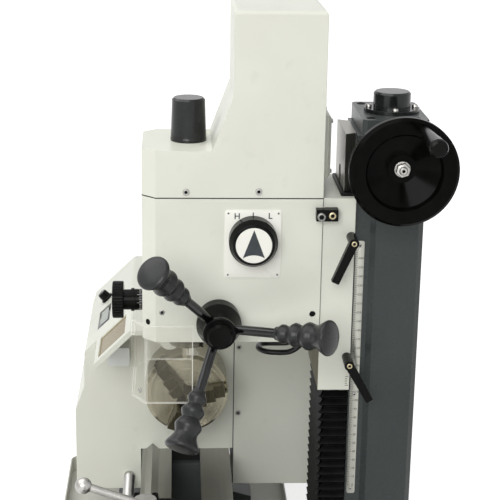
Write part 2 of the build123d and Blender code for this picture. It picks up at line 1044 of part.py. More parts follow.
with BuildPart() as chuck_body:
    turned(
        lathe_axis,
        [
            (flange_face, chuck_bore),
            (flange_face, chuck_radius),
            (chuck_face - chuck_chamfer, chuck_radius),
            (chuck_face, chuck_radius - chuck_chamfer),
            (chuck_face, chuck_bore),
        ],
    )
    reach = chuck_radius + 1
    for angle in jaw_angles:
        across = jaw_plane(angle)
        extrude(
            outline(across, slot_section(-jaw_depth - slide_gap, 1, reach)),
            amount=jaw_width / 2 + slide_gap,
            both=True,
            mode=Mode.SUBTRACT,
        )
        extrude(
            outline(
                across, slot_section(-tongue_low - slide_gap, -tongue_high + slide_gap, reach)
            ),
            amount=jaw_width / 2 + jaw_tongue + slide_gap,
            both=True,
            mode=Mode.SUBTRACT,
        )
        key_x = -(chuck_length + jaw_depth) / 2
        socket = [
            (chuck_radius - key_depth, key_x - key_square / 2),
            (reach, key_x - key_square / 2),
            (reach, key_x + key_square / 2),
            (chuck_radius - key_depth, key_x + key_square / 2),
        ]
        extrude(
            outline(jaw_plane(angle + jaw_spread / 2), socket),
            amount=key_square / 2,
            both=True,
            mode=Mode.SUBTRACT,
        )
save(chuck_body, "chuck_body")

# Stepped jaws, each with a tongue that runs in its slot
jaw_outer = jaw_inner + jaw_length
jaw_top = jaw_outer - jaw_tread - jaw_second_tread
jaw_profile = [
    (jaw_inner, -jaw_depth),
    (jaw_outer, -jaw_depth),
    (jaw_outer, jaw_step),
    (jaw_outer - jaw_tread, jaw_step),
    (jaw_outer - jaw_tread, 2 * jaw_step),
    (jaw_top, 2 * jaw_step),
    (jaw_top, 3 * jaw_step),
    (jaw_inner, 3 * jaw_step),
]
tongue_profile = [
    (jaw_inner + tongue_setback, -tongue_low),
    (jaw_outer, -tongue_low),
    (jaw_outer, -tongue_high),
    (jaw_inner + tongue_setback, -tongue_high),
]
jaw_half = jaw_width / 2
jaw_flank = (jaw_half - jaw_tip) / math.tan(math.radians(jaw_point))


def jaw_end_plane(angle):
    # plane across the lathe axis: local x is the jaw's radius
    turn = math.radians(angle)
    radial = (0, math.cos(turn), math.sin(turn))
    return Plane(origin=(chuck_face, 0, axis_z), x_dir=radial, z_dir=(1, 0, 0))


for i, angle in enumerate(jaw_angles):
    with BuildPart() as chuck_jaw:
        extrude(outline(jaw_plane(angle), jaw_profile), amount=jaw_width / 2, both=True)
        extrude(
            outline(jaw_plane(angle), tongue_profile),
            amount=jaw_width / 2 + jaw_tongue,
            both=True,
        )
        for side in (-1, 1):
            flank = [
                (jaw_inner, side * jaw_tip),
                (jaw_inner + jaw_flank, side * jaw_half),
                (jaw_inner, side * jaw_half),
            ]
            extrude(
                outline(jaw_end_plane(angle), flank),
                amount=jaw_depth + 3 * jaw_step,
                both=True,
                mode=Mode.SUBTRACT,
            )
    save(chuck_jaw, f"chuck_jaw_{i + 1}")

# Chuck guard: framed window that swings up on a stub in the headstock's end face
slope = math.radians(guard_slope)
guard_x = headstock_end + turn_gap
frame_up = (0, math.cos(slope), math.sin(slope))
frame_normal = (0, -math.sin(slope), math.cos(slope))


def guard_point(up, out):
    # (Y, Z) at a distance up the sloped frame and out from its middle
    return (
        guard_low_y + up * frame_up[1] + out * frame_normal[1],
        guard_low_z + up * frame_up[2] + out * frame_normal[2],
    )


def frame_reach(out, z):
    # distance up the frame at which its line, moved out, meets a height
    return (z - guard_low_z - out * frame_normal[2]) / frame_up[2]


half = guard_thick / 2
frame_top = frame_reach(half, guard_top_z)
frame_under = frame_reach(-half, guard_top_z - guard_thick)
window_height = frame_under - 2 * guard_border
window_length = guard_length - 2 * guard_end_border
window_y, window_z = guard_point(frame_under / 2, 0)
window_plane = Plane(
    origin=(guard_x + guard_length / 2, window_y, window_z), x_dir=(1, 0, 0), z_dir=frame_normal
)
with BuildPart() as chuck_guard:
    frame_section = [
        (guard_pivot_y, guard_top_z),
        guard_point(frame_top, half),
        guard_point(0, half),
        guard_point(0, -half),
        guard_point(frame_under, -half),
        (guard_pivot_y, guard_top_z - guard_thick),
    ]
    extrude(outline(Plane.YZ.offset(guard_x), frame_section), amount=guard_length)
    rod((guard_x, guard_pivot_y, guard_pivot_z), (1, 0, 0), guard_pivot_radius, guard_length)
    rod(
        (guard_x, guard_pivot_y, guard_pivot_z),
        (-1, 0, 0),
        guard_stub_radius,
        guard_stub_length + turn_gap,
    )
    with BuildSketch(window_plane):
        Rectangle(window_length, window_height)
    extrude(amount=guard_thick, both=True, mode=Mode.SUBTRACT)
save(chuck_guard, "chuck_guard")

with BuildPart() as chuck_guard_window:
    with BuildSketch(window_plane):
        Rectangle(window_length, window_height)
    extrude(amount=guard_window / 2, both=True)
save(chuck_guard_window, "chuck_guard_window")

# Speed knob on the console
with BuildPart() as speed_knob:
    knob_axis = Plane(origin=knob_seat.origin, x_dir=knob_seat.z_dir, z_dir=(1, 0, 0))
    turned(
        knob_axis,
        [
            (-speed_knob_depth, 0),
            (-speed_knob_depth, speed_knob_shaft),
            (turn_gap, speed_knob_shaft),
            (turn_gap, speed_knob_radius + speed_skirt),
            (turn_gap + speed_skirt_height, speed_knob_radius + speed_skirt),
            (turn_gap + speed_skirt_height + small_edge, speed_knob_radius),
            (speed_knob_height - small_edge, speed_knob_radius - speed_draft),
            (speed_knob_height, speed_knob_radius - speed_draft - small_edge),
            (speed_knob_height, 0),
        ],
    )
save(speed_knob, "speed_knob")

# Leadscrew
leadscrew_left = headstock_left - leadscrew_tail
with BuildPart() as leadscrew:
    rod(
        (leadscrew_left, leadscrew_y, leadscrew_z),
        (1, 0, 0),
        leadscrew_radius,
        bed_right - leadscrew_left - turn_gap,
    )
save(leadscrew, "leadscrew")

# Carriage: H-shaped saddle with the cross dovetail on top
wing = carriage_length / 2
waist_half = bridge_length / 2
carriage_half = [
    (wing, -carriage_front),
    (wing, -way_inner),
    (waist_half, -waist),
    (waist_half, waist),
    (wing, way_inner),
    (wing, carriage_rear),
]
carriage_plan = [(carriage_x + x, y) for x, y in carriage_half]
carriage_plan += [(carriage_x - x, y) for x, y in reversed(carriage_half)]


def dovetail(centre, half_width, flare, base, height, grow):
    # section of a male dovetail, grown by a gap for the slide over it
    return [
        (centre - half_width - grow, base),
        (centre + half_width + grow, base),
        (centre + half_width + flare + grow, base + height + grow),
        (centre - half_width - flare - grow, base + height + grow),
    ]


with BuildPart() as carriage:
    extrude(outline(Plane.XY.offset(bed_top), carriage_plan), amount=carriage_thickness)
    extrude(
        outline(Plane.YZ.offset(carriage_x - wing), ridge(slide_gap)),
        amount=carriage_length,
        mode=Mode.SUBTRACT,
    )
    cross_dovetail = dovetail(carriage_x, dove_half, dove_flare, carriage_top, dove_height, 0)
    extrude(outline(facing_y(carriage_rear), cross_dovetail), amount=carriage_rear + dove_front)
save(carriage, "carriage")

# Apron under the front of the carriage
apron_wheel_x = carriage_x + apron_wheel_dx
half_nut_x = carriage_x + half_nut_dx
with BuildPart() as apron:
    with BuildSketch(facing_y(apron_thickness - carriage_front)) as apron_face:
        with BuildLine():
            Polyline(
                [
                    (carriage_x - apron_length / 2, bed_top),
                    (carriage_x + apron_length / 2, bed_top),
                    (carriage_x + apron_length / 2, apron_bottom),
                    (carriage_x - apron_length / 2, apron_bottom),
                ],
                close=True,
            )
        make_face()
        fillet(apron_face.vertices().filter_by(lambda v: v.Y < apron_bottom + 1), apron_corner)
    extrude(amount=apron_thickness)
    for hole_x, hole_z, shaft in (
        (apron_wheel_x, apron_wheel_z, wheel_shaft),
        (half_nut_x, half_nut_z, lever_shaft),
    ):
        rod(
            (hole_x, -carriage_front, hole_z),
            (0, 1, 0),
            shaft + running_gap,
            shaft_depth,
            mode=Mode.SUBTRACT,
        )
save(apron, "apron")

# Apron handwheel with its fixed handle
with BuildPart() as apron_wheel:
    shaft_end = -carriage_front + shaft_depth - turn_gap
    handwheel(
        along_y(apron_wheel_x, apron_wheel_z),
        along_y(apron_wheel_x + apron_wheel_radius - handwheel_rim_depth, apron_wheel_z),
        -1,
        (shaft_end, wheel_shaft),
        -carriage_front - apron_wheel_gap,
        apron_wheel_radius,
        apron_wheel_hub,
    )
save(apron_wheel, "apron_wheel")


def ball_lever(hub_start, axis, hub_radius, hub_length, arm_direction, reach, arm, ball):
    # hub with a round arm that ends in a ball
    rod(hub_start, axis, hub_radius, hub_length)
    middle = Vector(hub_start) + Vector(axis) * hub_length / 2
    rod(middle, arm_direction, arm, reach)
    with Locations(middle + Vector(arm_direction).normalized() * reach):
        Sphere(ball)


# Half nut lever on the apron
with BuildPart() as half_nut_lever:
    turn = math.radians(half_nut_angle)
    hub_y = -carriage_front - turn_gap
    ball_lever(
        (half_nut_x, hub_y, half_nut_z),
        (0, -1, 0),
        lever_hub,
        lever_hub_length,
        (math.cos(turn), 0, math.sin(turn)),
        half_nut_arm,
        lever_shaft,
        lever_ball,
    )
    rod((half_nut_x, hub_y, half_nut_z), (0, 1, 0), lever_shaft, shaft_depth - turn_gap)
save(half_nut_lever, "half_nut_lever")

# Cross slide: T-slotted table on the carriage's dovetail
cross_length = cross_front + cross_rear
cross_half = cross_width / 2
groove = dovetail(carriage_x, dove_half, dove_flare, carriage_top, dove_height, slide_gap)
cross_section = [
    (carriage_x - cross_half, cross_bottom),
    (groove[0][0], cross_bottom),
    groove[3],
    groove[2],
    (groove[1][0], cross_bottom),
    (carriage_x + cross_half, cross_bottom),
    (carriage_x + cross_half, cross_top),
    (carriage_x - cross_half, cross_top),
]
slot_step = cross_top - slot_mouth_depth
slot_floor = slot_step - slot_foot_depth
with BuildPart() as cross_slide:
    extrude(outline(facing_y(cross_rear), cross_section), amount=cross_length)
    for slot_x in (carriage_x - slot_offset, carriage_x + slot_offset):
        tee = [
            (slot_x - slot_mouth / 2, cross_top),
            (slot_x - slot_mouth / 2, slot_step),
            (slot_x - slot_foot / 2, slot_step),
            (slot_x - slot_foot / 2, slot_floor),
            (slot_x + slot_foot / 2, slot_floor),
            (slot_x + slot_foot / 2, slot_step),
            (slot_x + slot_mouth / 2, slot_step),
            (slot_x + slot_mouth / 2, cross_top),
        ]
        extrude(outline(facing_y(cross_rear), tee), amount=cross_length, mode=Mode.SUBTRACT)
    bracket_low = carriage_top + dove_height + 1
    block(
        (carriage_x - cross_bracket_width / 2, carriage_x + cross_bracket_width / 2),
        (-cross_front - cross_bracket, -cross_front),
        (bracket_low, cross_top),
    )
    rod(
        (carriage_x, -cross_front - cross_bracket, crank_z),
        (0, 1, 0),
        lever_shaft + running_gap,
        shaft_depth,
        mode=Mode.SUBTRACT,
    )
save(cross_slide, "cross_slide")

# Cross feed crank with its dial
with BuildPart() as cross_feed_crank:
    dial_y = -cross_front - cross_bracket - turn_gap
    arm_y = dial_y - dial_length
    turned(
        along_y(carriage_x, crank_z),
        [
            (dial_y + shaft_depth - turn_gap, 0),
            (dial_y + shaft_depth - turn_gap, lever_shaft),
            (dial_y, lever_shaft),
            (dial_y, dial_radius),
            (arm_y + dial_chamfer, dial_radius),
            (arm_y, dial_radius - dial_chamfer),
            (arm_y, 0),
        ],
    )
    arm_plane = Plane(origin=(carriage_x, arm_y, crank_z), x_dir=(1, 0, 0), z_dir=(0, -1, 0))
    tapered_arm(arm_plane, crank_radius, crank_arm_root, crank_arm_tip, crank_arm_thickness)
    tapered_arm(
        Plane(origin=arm_plane.origin, x_dir=-arm_plane.x_dir, z_dir=arm_plane.z_dir),
        crank_balance,
        crank_arm_root,
        crank_balance_tip,
        crank_arm_thickness,
    )
    handle_start = arm_y - crank_arm_thickness / 2
    grip(
        along_y(carriage_x + crank_radius, crank_z),
        handle_start,
        -1,
        crank_handle,
        handle_root,
        handle_swell,
        handle_end,
    )
save(cross_feed_crank, "cross_feed_crank")

# Compound base: swivel disc with the top slide's dovetail


def top_section(grow):
    # dovetail of the top slide, seen along X
    return dovetail(
        compound_y, top_dove_half, top_dove_flare, compound_top, top_dove_height, grow
    )


with BuildPart() as compound_base:
    rod((carriage_x, compound_y, cross_top), (0, 0, 1), compound_radius, compound_thickness)
    extrude(
        outline(Plane.YZ.offset(carriage_x - top_slide_left + top_dove_inset), top_section(0)),
        amount=top_slide_left + top_slide_right - top_dove_inset - top_travel,
    )
save(compound_base, "compound_base")

# Top slide with the tool post's stud and the crank's bearing
top_groove = top_section(slide_gap)
top_bottom = compound_top + slide_gap
top_half = top_slide_width / 2
top_slide_section = [
    (compound_y - top_half, top_bottom),
    (top_groove[0][0], top_bottom),
    top_groove[3],
    top_groove[2],
    (top_groove[1][0], top_bottom),
    (compound_y + top_half, top_bottom),
    (compound_y + top_half, top_slide_top),
    (compound_y - top_half, top_slide_top),
]
top_right = carriage_x + top_slide_right
top_crank_z = compound_top + top_dial_room + top_dial_radius
post_top = top_slide_top + post_height
with BuildPart() as top_slide:
    extrude(
        outline(Plane.YZ.offset(carriage_x - top_slide_left), top_slide_section),
        amount=top_slide_left + top_slide_right,
    )
    rod((post_x, compound_y, top_slide_top), (0, 0, 1), stud_radius, post_height + stud_rise - stud_setback)
    rod(
        (top_right, compound_y, top_crank_z),
        (-1, 0, 0),
        lever_shaft + running_gap,
        shaft_depth,
        mode=Mode.SUBTRACT,
    )
save(top_slide, "top_slide")

# Top slide crank: small dialled handwheel
with BuildPart() as top_slide_crank:
    wheel_x = top_right + turn_gap
    wheel_end = wheel_x + top_dial_length
    turned(
        along_x(compound_y, top_crank_z),
        [
            (wheel_x - shaft_depth + turn_gap, 0),
            (wheel_x - shaft_depth + turn_gap, lever_shaft),
            (wheel_x, lever_shaft),
            (wheel_x, top_dial_radius - 2 * small_edge),
            (wheel_x + top_dial_neck, top_dial_radius - 2 * small_edge),
            (wheel_x + top_dial_neck + small_edge, top_dial_radius),
            (wheel_end, top_dial_radius),
            (wheel_end, 0),
        ],
    )
    grip(
        along_x(compound_y + top_dial_radius - top_handle_inset, top_crank_z),
        wheel_end - small_edge,
        1,
        top_handle,
        top_handle_root,
        top_handle_swell,
        handle_root,
    )
save(top_slide_crank, "top_slide_crank")

# Four-way tool post
post_bottom = top_slide_top + slide_gap
post_half = post_side / 2
with BuildPart() as tool_post:
    block(
        (post_x - post_half, post_x + post_half),
        (compound_y - post_half, compound_y + post_half),
        (post_bottom, post_top),
    )
    chamfer(tool_post.edges().filter_by(Axis.Z), post_chamfer)
    slot_z = top_slide_top + post_slot_rise
    with BuildSketch(Plane(origin=(post_x, compound_y, slot_z))):
        Rectangle(post_side + 2, post_side + 2)
        Rectangle(post_core, post_core, mode=Mode.SUBTRACT)
    extrude(amount=post_slot, mode=Mode.SUBTRACT)
    rod(
        (post_x, compound_y, post_bottom),
        (0, 0, 1),
        stud_radius + running_gap,
        post_height,
        mode=Mode.SUBTRACT,
    )
save(tool_post, "tool_post")

# Tool post lever
with BuildPart() as tool_post_lever:
    tilt = math.radians(post_lever_tilt)
    hub_z = post_top + turn_gap
    ball_lever(
        (post_x, compound_y, hub_z),
        (0, 0, 1),
        post_lever_hub,
        stud_rise,
        (0, -math.cos(tilt), math.sin(tilt)),
        post_lever_reach,
        lever_shaft,
        post_lever_ball,
    )
    rod(
        (post_x, compound_y, hub_z),
        (0, 0, 1),
        stud_radius + running_gap,
        stud_rise - 2,
        mode=Mode.SUBTRACT,
    )
save(tool_post_lever, "tool_post_lever")

# Tailstock: base on the ways, waist and barrel
tail_right = tail_left + tail_length
tail_base_top = bed_top + tail_base_height
with BuildPart() as tailstock:
    with BuildSketch(Plane.YZ.offset(tail_left)) as tail_end:
        with BuildLine():
            Polyline(
                [
                    (-tail_base_half, bed_top),
                    (tail_base_half, bed_top),
                    (tail_base_half, tail_base_top),
                    (tail_waist, tail_base_top + tail_waist_rise),
                    (tail_waist - tail_waist_draft, axis_z),
                    (tail_waist_draft - tail_waist, axis_z),
                    (-tail_waist, tail_base_top + tail_waist_rise),
                    (-tail_base_half, tail_base_top),
                ],
                close=True,
            )
        make_face()
    extrude(amount=tail_length)
    barrel_left = tail_left - barrel_overhang
    barrel_length = tail_length + 2 * barrel_overhang
    rod((barrel_left, 0, axis_z), (1, 0, 0), barrel_radius, barrel_length)
    extrude(
        outline(Plane.YZ.offset(tail_left), ridge(slide_gap)),
        amount=tail_length,
        mode=Mode.SUBTRACT,
    )
    rod(
        (barrel_left, 0, axis_z),
        (1, 0, 0),
        tail_quill_radius + running_gap,
        barrel_length,
        mode=Mode.SUBTRACT,
    )
    lock_x = tail_left + tail_length / 3
    lock_z = axis_z + barrel_radius
    rod((lock_x, 0, lock_z - tail_boss_height), (0, 0, 1), tail_boss_radius, 2 * tail_boss_height)
    lock_floor = axis_z + tail_quill_radius + tail_lever_depth
    rod(
        (lock_x, 0, lock_floor),
        (0, 0, 1),
        tail_lever_radius + running_gap,
        barrel_radius,
        mode=Mode.SUBTRACT,
    )
save(tailstock, "tailstock")

# Tailstock quill with its taper socket
quill_left = tail_left - tail_quill_out
with BuildPart() as tailstock_quill:
    turned(
        lathe_axis,
        [
            (quill_left, tail_socket_mouth),
            (quill_left, tail_quill_radius),
            (quill_left + tail_quill_length, tail_quill_radius),
            (quill_left + tail_quill_length, 0),
            (quill_left + tail_socket_depth, 0),
            (quill_left + tail_socket_depth, tail_socket_end),
        ],
    )
save(tailstock_quill, "tailstock_quill")

# Tailstock handwheel
with BuildPart() as tailstock_wheel:
    shaft_start = quill_left + tail_quill_length + tail_screw_gap
    handwheel(
        lathe_axis,
        along_x(tail_wheel_radius - handwheel_rim_depth, axis_z),
        1,
        (shaft_start, tail_wheel_shaft),
        tail_right + barrel_overhang + turn_gap,
        tail_wheel_radius,
        tail_wheel_hub,
    )
save(tailstock_wheel, "tailstock_wheel")

# Quill lock lever of the tailstock
with BuildPart() as tailstock_lever:
    lock_top = lock_z + tail_boss_height + turn_gap
    ball_lever(
        (lock_x, 0, lock_top),
        (0, 0, 1),
        tail_boss_radius,
        tail_lever_hub,
        (0, -math.cos(tilt), math.sin(tilt)),
        tail_lever_reach,
        tail_lever_radius,
        lever_ball,
    )
    lock_depth = lock_top - lock_floor - turn_gap
    rod((lock_x, 0, lock_top), (0, 0, -1), tail_lever_radius, lock_depth)
save(tailstock_lever, "tailstock_lever")

# Column bracket: tapered arm behind the bed
bracket_rear = column_rear + foot_margin
with BuildPart() as column_bracket:
    bracket_section = [
        (way_outer, bracket_flange_top),
        (way_outer + bracket_flange, bracket_flange_top),
        (way_outer + bracket_flange + bracket_step, bracket_top),
        (bracket_rear, bracket_top),
        (bracket_rear, bracket_top - bracket_tip),
        (way_outer + bracket_flange, bed_base - bracket_drop),
        (way_outer, bed_base - bracket_drop),
    ]
    extrude(
        outline(Plane.YZ.offset(mill_x - column_half_base), bracket_section),
        amount=2 * column_half_base,
    )
    pocket_start = way_outer + bracket_flange + pocket_front
    pocket_section = [
        (pocket_start, bracket_top - bracket_tip),
        (bracket_rear - pocket_rear, bracket_top - bracket_tip),
        (bracket_rear - pocket_rear, bed_base - bracket_drop),
        (pocket_start, bed_base - bracket_drop),
    ]
    for side in (-1, 1):
        inner = mill_x + side * pocket_rib / 2
        outer = mill_x + side * (column_half_base - pocket_side)
        extrude(
            outline(Plane.YZ.offset(min(inner, outer)), pocket_section),
            amount=abs(outer - inner),
            mode=Mode.SUBTRACT,
        )
save(column_bracket, "column_bracket")

# Column: hollow casting with a male dovetail and a slot for the lift nut
column_side = [
    (dovetail_half, dovetail_front),
    (dovetail_root, column_front),
    (column_front_half, column_front),
    (column_front_half, column_front + column_step),
    (column_half, column_front + column_step + column_step_run),
    (column_half, column_rear - column_corner),
    (column_half - column_corner, column_rear),
]
column_plan = [(mill_x + x, y) for x, y in column_side]
column_plan += [(mill_x - x, y) for x, y in reversed(column_side)]
foot_x = column_half + foot_margin
with BuildPart() as column:
    extrude(
        outline(Plane.XY.offset(bracket_top), column_plan), amount=column_top - bracket_top
    )
    block(
        (mill_x - foot_x, mill_x + foot_x),
        (dovetail_front, column_rear + foot_margin),
        (bracket_top, bracket_top + column_foot),
    )
    room_front = column_front + shaft_room_wall
    room_rear = column_rear - 2 * shaft_room_wall
    block(
        (mill_x - shaft_room_half, mill_x + shaft_room_half),
        (room_front, room_rear),
        (bracket_top + column_foot, column_top),
        mode=Mode.SUBTRACT,
    )
    slot_top = column_top - nut_slot_below_top - nut_slot_half
    block(
        (mill_x - nut_slot_half, mill_x + nut_slot_half),
        (dovetail_front, room_front),
        (nut_slot_bottom, slot_top),
        mode=Mode.SUBTRACT,
    )
    rod(
        (mill_x, dovetail_front, slot_top),
        (0, 1, 0),
        nut_slot_half,
        room_front - dovetail_front,
        mode=Mode.SUBTRACT,
    )
    rod(
        (mill_x, lift_y, lift_z),
        (1, 0, 0),
        lift_shaft_radius + running_gap,
        column_half,
        mode=Mode.SUBTRACT,
    )
save(column, "column")

# Top block that carries the lift screw
with BuildPart() as column_cap:
    block(
        (mill_x - column_half, mill_x + column_half),
        (column_front + cap_setback, column_rear),
        (column_top, column_top + cap_thickness),
    )
    chamfer(column_cap.edges().filter_by(Axis.Z), cap_chamfer)
    rod(
        (mill_x, lift_y, column_top),
        (0, 0, 1),
        lift_screw_radius + running_gap,
        cap_thickness,
        mode=Mode.SUBTRACT,
    )
save(column_cap, "column_cap")

lift_axis = along_z(mill_x, lift_y)
cap_base = column_top + cap_thickness
with BuildPart() as lift_bearing_cap:
    turned(
        lift_axis,
        [
            (cap_base, 0),
            (cap_base, cap_flange_radius),
            (cap_base + cap_flange_thickness, cap_flange_radius),
            (cap_base + cap_flange_thickness, cap_radius),
            (cap_base + cap_flange_thickness + cap_height - cap_round, cap_radius),
            (cap_base + cap_flange_thickness + cap_height, cap_radius - cap_round),
            (cap_base + cap_flange_thickness + cap_height, 0),
        ],
    )
save(lift_bearing_cap, "lift_bearing_cap")

# Lift screw with its bevel gear
gear_top = lift_z - bevel_radius
gear_bottom = gear_top - gear_face
screw_low = bracket_top + column_foot + small_edge
with BuildPart() as lift_screw:
    turned(
        lift_axis,
        [
            (screw_low, 0),
            (screw_low, lift_screw_radius),
            (gear_bottom - gear_hub, lift_screw_radius),
            (gear_bottom - gear_hub, gear_radius),
            (gear_bottom, gear_radius),
            (gear_top, lift_screw_radius + slide_gap),
            (gear_top, lift_screw_radius),
            (cap_base - small_edge, lift_screw_radius),
            (cap_base - small_edge, 0),
        ],
    )
save(lift_screw, "lift_screw")

# Lift handwheel: dished wheel on the bevel pinion's shaft
wheel_axis = along_x(lift_y, lift_z)
pinion_start = mill_x + lift_screw_radius + gear_hub
pinion_end = mill_x + shaft_room_half - turn_gap
hub_start = mill_x + column_half + wheel_gap
rim_back = mill_x + wheel_plane
rim_front = rim_back + wheel_rim_width
rim_inner = wheel_radius - wheel_rim
hub_front = rim_back - wheel_dish
handle_turn = math.radians(handle_angle)
handle_y = lift_y + handle_orbit * math.cos(handle_turn)
handle_z = lift_z + handle_orbit * math.sin(handle_turn)
with BuildPart() as lift_wheel:
    turned(
        wheel_axis,
        [
            (pinion_start, 0),
            (pinion_start, lift_shaft_radius),
            (pinion_end, bevel_radius),
            (pinion_end, lift_shaft_radius),
            (hub_start, lift_shaft_radius),
            (hub_start, wheel_hub),
            (hub_front - wheel_web, wheel_hub),
            (rim_back + small_edge, rim_inner - small_edge),
            (rim_back, rim_inner + small_edge),
            (rim_back, wheel_radius - wheel_round),
            (rim_back + wheel_round, wheel_radius),
            (rim_front - wheel_round, wheel_radius),
            (rim_front, wheel_radius - wheel_round),
            (rim_front, rim_inner + small_edge),
            (rim_front - wheel_round, rim_inner - small_edge),
            (rim_back + wheel_web, rim_inner - small_edge),
            (hub_front, wheel_hub + small_edge),
            (hub_front, lift_stud_radius),
            (hub_front + lift_stud_length, lift_stud_radius),
            (hub_front + lift_stud_length, 0),
        ],
    )
    pin_length = small_edge + handle_pin_length
    rod((rim_front - small_edge, handle_y, handle_z), (1, 0, 0), handle_pin, pin_length)
save(lift_wheel, "lift_wheel")

# Revolving handle of the lift handwheel
with BuildPart() as lift_handle:
    start = rim_front + turn_gap
    pin_end = rim_front + handle_pin_length + turn_gap
    tip_end = start + handle_length
    turned(
        along_x(handle_y, handle_z),
        [
            (start, handle_pin + running_gap),
            (start, handle_back),
            (tip_end - 2 * handle_round, handle_tip - small_edge / 2),
            (tip_end - handle_round, handle_tip),
            (tip_end - small_edge, handle_tip - small_edge),
            (tip_end, handle_tip - 3 * small_edge),
            (tip_end, 0),
            (pin_end, 0),
            (pin_end, handle_pin + running_gap),
        ],
    )
save(lift_handle, "lift_handle")

# Bellows: pleats round the dovetail, between the column foot and the saddle
bellows_low = bracket_top + column_foot + bellows_gap
bellows_high = saddle_bottom - bellows_gap
bellows_rear = column_front - turn_gap
bellows_inner = dovetail_half + bellows_side_room
with BuildPart() as bellows:
    step = (bellows_high - bellows_low) / (2 * bellows_pleats)
    for i in range(2 * bellows_pleats + 1):
        fold = bellows_fold * (i % 2)
        plan_half = bellows_half - fold
        plan_front = bellows_front + fold
        with BuildSketch(Plane.XY.offset(bellows_low + i * step)):
            with Locations((mill_x, (plan_front + bellows_rear) / 2)):
                Rectangle(2 * plan_half, bellows_rear - plan_front)
    loft(ruled=True)
    block(
        (mill_x - bellows_inner, mill_x + bellows_inner),
        (dovetail_front - bellows_front_room, bellows_rear),
        (bellows_low, bellows_high),
        mode=Mode.SUBTRACT,
    )
save(bellows, "bellows")

# Saddle of the head, with its nut on the lift screw
nut_low = saddle_bottom + lift_nut_rise
nut_high = nut_low + lift_nut_height
clamp_y = column_front - clamp_inset
with BuildPart() as mill_saddle:
    saddle_plan = [
        (mill_x - saddle_half, throat),
        (mill_x + saddle_half, throat),
        (mill_x + saddle_half, column_front - turn_gap),
        (mill_x + dovetail_root + 2 * slide_gap, column_front - turn_gap),
        (mill_x + dovetail_half + 2 * slide_gap, dovetail_front - slide_gap),
        (mill_x - dovetail_half - 2 * slide_gap, dovetail_front - slide_gap),
        (mill_x - dovetail_root - 2 * slide_gap, column_front - turn_gap),
        (mill_x - saddle_half, column_front - turn_gap),
    ]
    extrude(outline(Plane.XY.offset(saddle_bottom), saddle_plan), amount=saddle_height)
    rod((mill_x, throat, tilt_z), (0, -1, 0), tilt_radius, tilt_depth)
    block(
        (mill_x - lift_nut_arm, mill_x + lift_nut_arm),
        (dovetail_front - saddle_inset, lift_y),
        (nut_low, nut_high),
    )
    rod((mill_x, lift_y, nut_low), (0, 0, 1), lift_nut_radius, lift_nut_height)
    rod(
        (mill_x, lift_y, nut_low),
        (0, 0, 1),
        lift_screw_radius + running_gap,
        lift_nut_height,
        mode=Mode.SUBTRACT,
    )
    for rise in (clamp_upper_rise, clamp_lower_rise):
        rod(
            (saddle_side, clamp_y, saddle_bottom + rise),
            (-1, 0, 0),
            clamp_stud + running_gap,
            clamp_stud_depth,
            mode=Mode.SUBTRACT,
        )
save(mill_saddle, "mill_saddle")

# Clamp levers of the saddle
for name, rise, angle in (
    ("clamp_lever_upper", clamp_upper_rise, clamp_upper_angle),
    ("clamp_lever_lower", clamp_lower_rise, clamp_lower_angle),
):
    with BuildPart() as clamp_lever:
        hub_start = saddle_side + turn_gap
        clamp_z = saddle_bottom + rise
        rod((hub_start, clamp_y, clamp_z), (1, 0, 0), clamp_hub_radius, clamp_hub_length)
        stud_length = clamp_stud_depth - turn_gap
        rod((hub_start, clamp_y, clamp_z), (-1, 0, 0), clamp_stud, stud_length)
        turn = math.radians(angle)
        arm_start = hub_start + clamp_hub_length - clamp_arm_thickness
        square_arm(
            Plane(
                origin=(arm_start, clamp_y, clamp_z),
                x_dir=(0, math.cos(turn), math.sin(turn)),
                z_dir=(1, 0, 0),
            ),
            clamp_arm_length,
            clamp_arm_root,
            clamp_arm_tip,
            clamp_arm_thickness - small_edge,
        )
    save(clamp_lever, name)

# Zero stop of the tilt: block on the saddle that laps over the head's side
stop_low = seam_z - stop_below_seam
stop_outer = saddle_side + stop_thickness
stop_inner = head_side + turn_gap
with BuildPart() as tilt_stop:
    stop_plan = [
        (saddle_side, throat + stop_step),
        (saddle_side, throat + stop_length - stop_lap),
        (stop_outer, throat + stop_length - stop_lap),
        (stop_outer, throat - stop_lap),
        (stop_inner, throat - stop_lap),
        (stop_inner, throat + stop_step),
    ]
    extrude(outline(Plane.XY.offset(stop_low), stop_plan), amount=stop_height)
save(tilt_stop, "tilt_stop")

